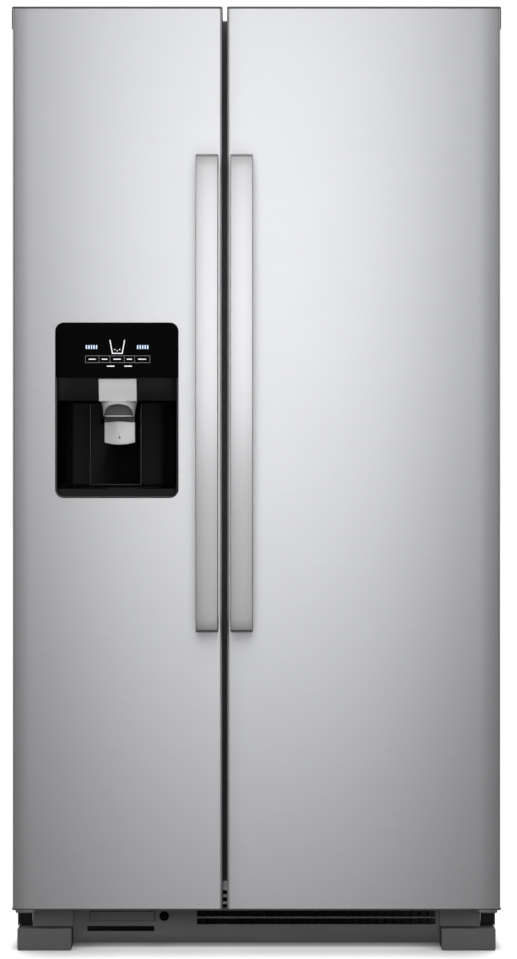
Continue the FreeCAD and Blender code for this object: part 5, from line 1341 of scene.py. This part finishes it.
class FRIDGE_OT_shelves(bpy.types.Operator):
    """Glass shelves in their frames, drawer covers and wire freezer shelves"""

    bl_idname = "fridge.shelves"
    bl_label = "Shelves"

    def execute(self, context):
        low, high = box_mm("fridge_shelf_glass")
        frame_low, frame_high = box_mm("fridge_shelf_frames")
        panes, frames_made = [], []
        flat = [0, 1]
        play, cover = 0.3, 8.0
        for level in GLASS_LEVELS:
            panes.append(soft_box(
                (low[0] + play, low[1] + play, level), (high[0] - play, high[1] - play, level + GLASS_THICK),
                1.2, axis=2))
            section = [
                (1.5, level - 8), (0.0, level - 6), (0.0, level + 6), (1.5, level + 8), (13.0, level + 8),
                (15.0, level + 6.4), (15.0, level + 5.1), (10.9, level + GLASS_THICK), (10.9, level),
                (15.0, level - 0.1), (15.0, level - 8),
            ]
            frames_made.append(swept_ring(frame_low[flat], frame_high[flat], 6.0, section, 2))
        for level, back in zip(COVER_LEVELS, (COVER_BACK, frame_high[1], frame_high[1])):
            frames_made.append(soft_box(
                (frame_low[0], frame_low[1], level), (frame_high[0], back, level + cover), 2.0))
        make("shelf_panes", panes, "shelf_glass", "cabinet", ["fridge_shelf_glass"])
        make("shelf_rims", frames_made, "liner_plastic", "cabinet", ["fridge_shelf_frames"])

        low, high = box_mm("freezer_shelves")
        parts = []
        frame_wire = 2.9
        for level in WIRE_LEVELS:
            section = [
                (3 - frame_wire * math.cos(t), level + frame_wire * math.sin(t))
                for t in np.linspace(0, 2 * math.pi, 11)[:-1]
            ]
            parts.append(swept_ring(low[flat], high[flat], 12.0, section, 2, 6))
            x = np.linspace(low[0] + 3, high[0] - 3, 21)[1:-1]
            ones = np.ones_like(x)
            starts = np.stack([x, (low[1] + 2) * ones, (level + 1.6) * ones], -1)
            ends = np.stack([x, (high[1] - 2) * ones, (level + 1.6) * ones], -1)
            parts += rods(starts, ends, 1.3)
            y = np.linspace(low[1], high[1], 5)[1:-1]
            ones = np.ones_like(y)
            starts = np.stack([(low[0] + 2) * ones, y, (level - 1.4) * ones], -1)
            ends = np.stack([(high[0] - 2) * ones, y, (level - 1.4) * ones], -1)
            parts += rods(starts, ends, 1.7)
        make("wire_shelves", parts, "white_wire", "cabinet", ["freezer_shelves"])
        return {"FINISHED"}


class FRIDGE_OT_ice_bin(bpy.types.Operator):
    """Clear ice bucket with a rolled rim and a white front"""

    bl_idname = "fridge.ice_bin"
    bl_label = "Ice bin"

    def execute(self, context):
        low, high = box_mm("ice_bin")
        make("ice_bucket", [tray(low, high, 3.5, 16.0, 2.0)], "clear_plastic", "cabinet", ["ice_bin"])
        side = 70.0
        front = soft_box((low[0] + 1, low[1] - 0.5, low[2] + 24), (high[0] - 1, low[1] + 5, high[2] - 8), 2.2)
        grip = soft_box(
            (low[0] + side, low[1] - 1.0, high[2] - 60), (high[0] - side, low[1] + 2, high[2] - 30), 1.0)
        make("ice_bucket_front", [front, grip], "liner_plastic", "cabinet")
        return {"FINISHED"}


# ---------------------------------------------------------------- base and small hardware
class FRIDGE_OT_base(bpy.types.Operator):
    """Feet, kick plate, filter cap and eject button"""

    bl_idname = "fridge.base"
    bl_label = "Base pieces"

    def execute(self, context):
        low, high = box_mm("brake_feet")
        post = [(FOOT_TOP - 2, 8.0), (FOOT_TOP + 4, 8.0), (FOOT_TOP + 4, 6.5), (high[2] - 0.5, 6.5)]
        feet = []
        for side in (-1, 1):
            x0, x1 = sorted((side * high[0], side * FOOT_INNER))
            feet.append(soft_box((x0, low[1], low[2]), (x1, high[1], FOOT_TOP), 2.4, axis=1))
            feet.append(turned(post, (side * POST_X, POST_Y, 0), 2, 24))
        make("levelling_feet", feet, "grey_plastic", "cabinet", ["brake_feet"])
        grille = softened("base_grille", "cabinet", 0.7)
        # The faces in the grille's openings turn black: painted shade in the vents.
        darkened(grille, "black_plastic", GRILLE_SHADE_LOW, GRILLE_SHADE_HIGH)
        softened("filter_cap", "cabinet", 1.6, segments=3)
        low, high = box_mm("filter_eject_button")
        middle = ((low[0] + high[0]) / 2, 0.0, (low[2] + high[2]) / 2)
        radius = (high[0] - low[0]) / 2
        front, stem = low[1], 4.0
        profile = [
            (front + 2.2, 0.6), (front + 1.8, 3.0), (front + 0.8, radius - 2.6), (front + 0.1, radius - 1.6),
            (front + 0.3, radius - 0.8), (front + 1.2, radius - 0.1), (front + 2.0, radius),
            (front + 10.0, radius), (front + 10.5, radius - 0.6), (front + 10.6, stem), (high[1], stem),
        ]
        make("eject_button_cap", [turned(profile, middle, 1, 48)], "black_plastic", "eject_button",
             ["filter_eject_button"])
        return {"FINISHED"}


class FRIDGE_OT_hardware(bpy.types.Operator):
    """Caps, hinges, rollers and the other plain pieces with their edges broken"""

    bl_idname = "fridge.hardware"
    bl_label = "Hardware"

    def execute(self, context):
        pieces = (
            ("freezer_door_caps", "freezer_door", 0.5), ("fridge_door_caps", "fridge_door", 0.5),
            ("freezer_door_liner", "freezer_door", 0.9), ("fridge_door_liner", "fridge_door", 0.9),
            ("hinge_brackets", "cabinet", 0.6), ("hinge_covers", "cabinet", 1.4),
            ("mullion_cover", "cabinet", 0.3), ("control_housing", "cabinet", 1.5),
            ("evaporator_cover", "cabinet", 0.8), ("ice_maker", "cabinet", 1.5),
            ("machine_cover", "cabinet", 0.4), ("base_frame", "cabinet", 0.4),
            ("drain_pan", "cabinet", 0.8), ("water_inlet_valve", "cabinet", 1.0),
            ("power_inlet", "cabinet", 0.8), ("front_rollers", "front_wheels", 1.2),
            ("rear_rollers", "rear_wheels", 1.4), ("evaporator_fan", "cold_fan", 0.4),
            ("condenser_fan", "warm_fan", 0.4), ("ice_auger", "auger", 0.5),
        )
        for node_name, body, width in pieces:
            softened(node_name, body, width)
        hinges = bpy.data.objects["hinge_brackets_soft"]
        darkened(hinges, "black_steel", HINGE_LOW, HINGE_HIGH)
        # Black pieces on the mullion stand for the slots in the gap: painted shade of the holes.
        front = box_mm("mullion_cover")[0][1]
        left, right = GAP_SLOT_X
        slots = [
            soft_box((left, front - 0.8, z), (right, front + 0.5, z + tall), 0.4)
            for z, tall in GAP_SLOTS
        ]
        make("gap_slot_shades", slots, "black_plastic", "cabinet")
        return {"FINISHED"}


# ---------------------------------------------------------------- studio
def worked(tree, operation, first, second=None):
    """The result of one sum on a value: second is another value's socket, a number or left out."""
    made = node(tree, "ShaderNodeMath", operation=operation)
    tree.links.new(first, made.inputs[0])
    if isinstance(second, float):
        made.inputs[1].default_value = second
    elif second is not None:
        tree.links.new(second, made.inputs[1])
    return made.outputs["Value"]


def floor_finish(lift_strength):
    """Pale floor. As the camera sees it, it is lifted to white, except in a box of places under the cabinet,
    a painted shadow, and, by ambient occlusion, close to what stands on it, a painted contact shadow."""
    material, tree, surface, position = blank("floor_white")
    grain = effect(tree, "Moulded grain", position, Pebbles=60.0, Depth=0.01)
    tone = toned(tree, grain.outputs["Cloud"], (0.18, 0.18, 0.18), 0.01)
    tree.links.new(tone, surface.inputs["Base Color"])
    surface.inputs["Roughness"].default_value = 0.9
    surface.inputs["Specular IOR Level"].default_value = 0.1
    split = node(tree, "ShaderNodeSeparateXYZ")
    tree.links.new(position, split.inputs["Vector"])
    clear_of_painted_shadow = []
    for axis, centre, near, far in (("X", 0.0, 0.43, 0.46), ("Y", 0.065, 0.30, 0.37)):
        size = worked(tree, "ABSOLUTE", worked(tree, "SUBTRACT", split.outputs[axis], centre))
        clear_of_painted_shadow.append(ranged(tree, size, 0.0, 1.0, near, far))
    shade = node(tree, "ShaderNodeAmbientOcclusion", samples=12)
    shade.inputs["Distance"].default_value = 0.11
    open_air = ranged(tree, shade.outputs["AO"], 0.0, lift_strength, 0.05, 0.8)
    masked = worked(tree, "MULTIPLY", open_air, worked(tree, "MAXIMUM", *clear_of_painted_shadow))
    seen = node(tree, "ShaderNodeLightPath").outputs["Is Camera Ray"]
    surface.inputs["Emission Color"].default_value = (1.0, 1.0, 1.0, 1.0)
    tree.links.new(worked(tree, "MULTIPLY", seen, masked), surface.inputs["Emission Strength"])
    return material


def surroundings(settings):
    """World: plain white to the camera. To everything else it is dim in front of the doors and brighter to
    the sides and behind, by the x and y of the direction."""
    world = bpy.data.worlds.new("studio")
    world.use_nodes = True
    tree = world.node_tree
    tree.nodes.clear()
    split = node(tree, "ShaderNodeSeparateXYZ")
    tree.links.new(node(tree, "ShaderNodeTexCoord").outputs["Generated"], split.inputs["Vector"])
    low, high = settings.ambient, settings.surround
    sideways = ranged(tree, worked(tree, "ABSOLUTE", split.outputs["X"]), low, high, 0.42, 0.8)
    behind = ranged(tree, split.outputs["Y"], low, high, -0.1, 0.3)
    even = node(tree, "ShaderNodeBackground")
    even.inputs["Color"].default_value = (1.0, 1.0, 1.0, 1.0)
    tree.links.new(worked(tree, "MAXIMUM", sideways, behind), even.inputs["Strength"])
    plain = node(tree, "ShaderNodeBackground")
    plain.inputs["Color"].default_value = (1.0, 1.0, 1.0, 1.0)
    plain.inputs["Strength"].default_value = 1.05
    choice = node(tree, "ShaderNodeMixShader")
    tree.links.new(node(tree, "ShaderNodeLightPath").outputs["Is Camera Ray"], choice.inputs["Fac"])
    tree.links.new(even.outputs["Background"], choice.inputs[1])
    tree.links.new(plain.outputs["Background"], choice.inputs[2])
    output = node(tree, "ShaderNodeOutputWorld")
    tree.links.new(choice.outputs["Shader"], output.inputs["Surface"])
    return world


class FRIDGE_OT_studio(bpy.types.Operator):
    """Pale floor, soft lights and the camera"""

    bl_idname = "fridge.studio"
    bl_label = "Studio"

    def execute(self, context):
        settings = context.scene.fridge_studio
        scene = context.scene
        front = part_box("freezer_door_skin")[0][1]

        half = 14.0
        corners = np.array([(-half, -half, 0.0), (half, -half, 0.0), (half, half, 0.0), (-half, half, 0.0)])
        mesh = bpy.data.meshes.new("floor")
        mesh.from_pydata(corners, [], [(0, 1, 2, 3)])
        mesh.materials.append(floor_finish(settings.floor_lift))
        floor = bpy.data.objects.new("floor", mesh)
        floor.location.z = -0.0002
        scene.collection.objects.link(floor)
        scene.world = surroundings(settings)

        upright, ahead = (math.pi / 2, 0, 0), front - 2.0
        lamps = (
            ("strip", settings.strip, (0.0, ahead, 1.45), upright, (1.15, 1.1)),
            ("low_strip", settings.low_strip, (0.0, ahead, 0.5), upright, (1.0, 0.8)),
            ("upper", settings.upper, (0.0, ahead + 0.2, 2.6), (math.radians(70), 0, 0), (1.6, 0.8)),
            ("overhead", settings.overhead, (0.0, -0.4, 3.6), (0, 0, 0), (4.0, 4.0)),
        )
        for name, power, place, turn, size in lamps:
            lamp = bpy.data.lights.new(name, "AREA")
            lamp.shape = "RECTANGLE"
            lamp.size, lamp.size_y = size
            lamp.energy = power
            holder = bpy.data.objects.new(name, lamp)
            holder.location = place
            holder.rotation_euler = turn
            holder.visible_camera = False
            scene.collection.objects.link(holder)

        lens = bpy.data.cameras.new("camera")
        lens.sensor_width = 36.0
        lens.lens = settings.lens
        lens.shift_x = 0.0021
        lens.shift_y = -0.062
        camera = bpy.data.objects.new("camera", lens)
        camera.location = (0.0, front - settings.distance, settings.eye)
        camera.rotation_euler = upright
        scene.collection.objects.link(camera)
        scene.camera = camera
        scene.view_settings.view_transform = "Standard"
        return {"FINISHED"}


# ---------------------------------------------------------------- add-on
OPERATORS = (
    FRIDGE_OT_finishes, FRIDGE_OT_door_sheets, FRIDGE_OT_handles, FRIDGE_OT_gaskets, FRIDGE_OT_dispenser,
    FRIDGE_OT_control_panel, FRIDGE_OT_ice_chute, FRIDGE_OT_paddle, FRIDGE_OT_drip_tray, FRIDGE_OT_cabinet,
    FRIDGE_OT_liners, FRIDGE_OT_bins, FRIDGE_OT_shelves, FRIDGE_OT_ice_bin, FRIDGE_OT_base,
    FRIDGE_OT_hardware, FRIDGE_OT_studio,
)


class FRIDGE_PT_panel(bpy.types.Panel):
    """Sidebar panel with the settings and one button for each group of pieces"""

    bl_idname = "FRIDGE_PT_panel"
    bl_label = "Refrigerator"
    bl_space_type = "VIEW_3D"
    bl_region_type = "UI"
    bl_category = "Refrigerator"

    def draw(self, context):
        for attribute, group in SETTINGS:
            holder = getattr(context.scene, attribute)
            box = self.layout.box()
            for key in group.__annotations__:
                box.prop(holder, key)
        for operator in OPERATORS:
            self.layout.operator(operator.bl_idname)


def register():
    for attribute, group in SETTINGS:
        bpy.utils.register_class(group)
        setattr(bpy.types.Scene, attribute, bpy.props.PointerProperty(type=group))
    for operator in OPERATORS:
        bpy.utils.register_class(operator)
    bpy.utils.register_class(FRIDGE_PT_panel)


def unregister():
    bpy.utils.unregister_class(FRIDGE_PT_panel)
    for operator in reversed(OPERATORS):
        bpy.utils.unregister_class(operator)
    for attribute, group in reversed(SETTINGS):
        delattr(bpy.types.Scene, attribute)
        bpy.utils.unregister_class(group)


def main():
    """Registers the add-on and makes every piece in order."""
    register()
    for operator in OPERATORS:
        group, name = operator.bl_idname.split(".")
        getattr(getattr(bpy.ops, group), name)()


if __name__ == "__main__":
    main()
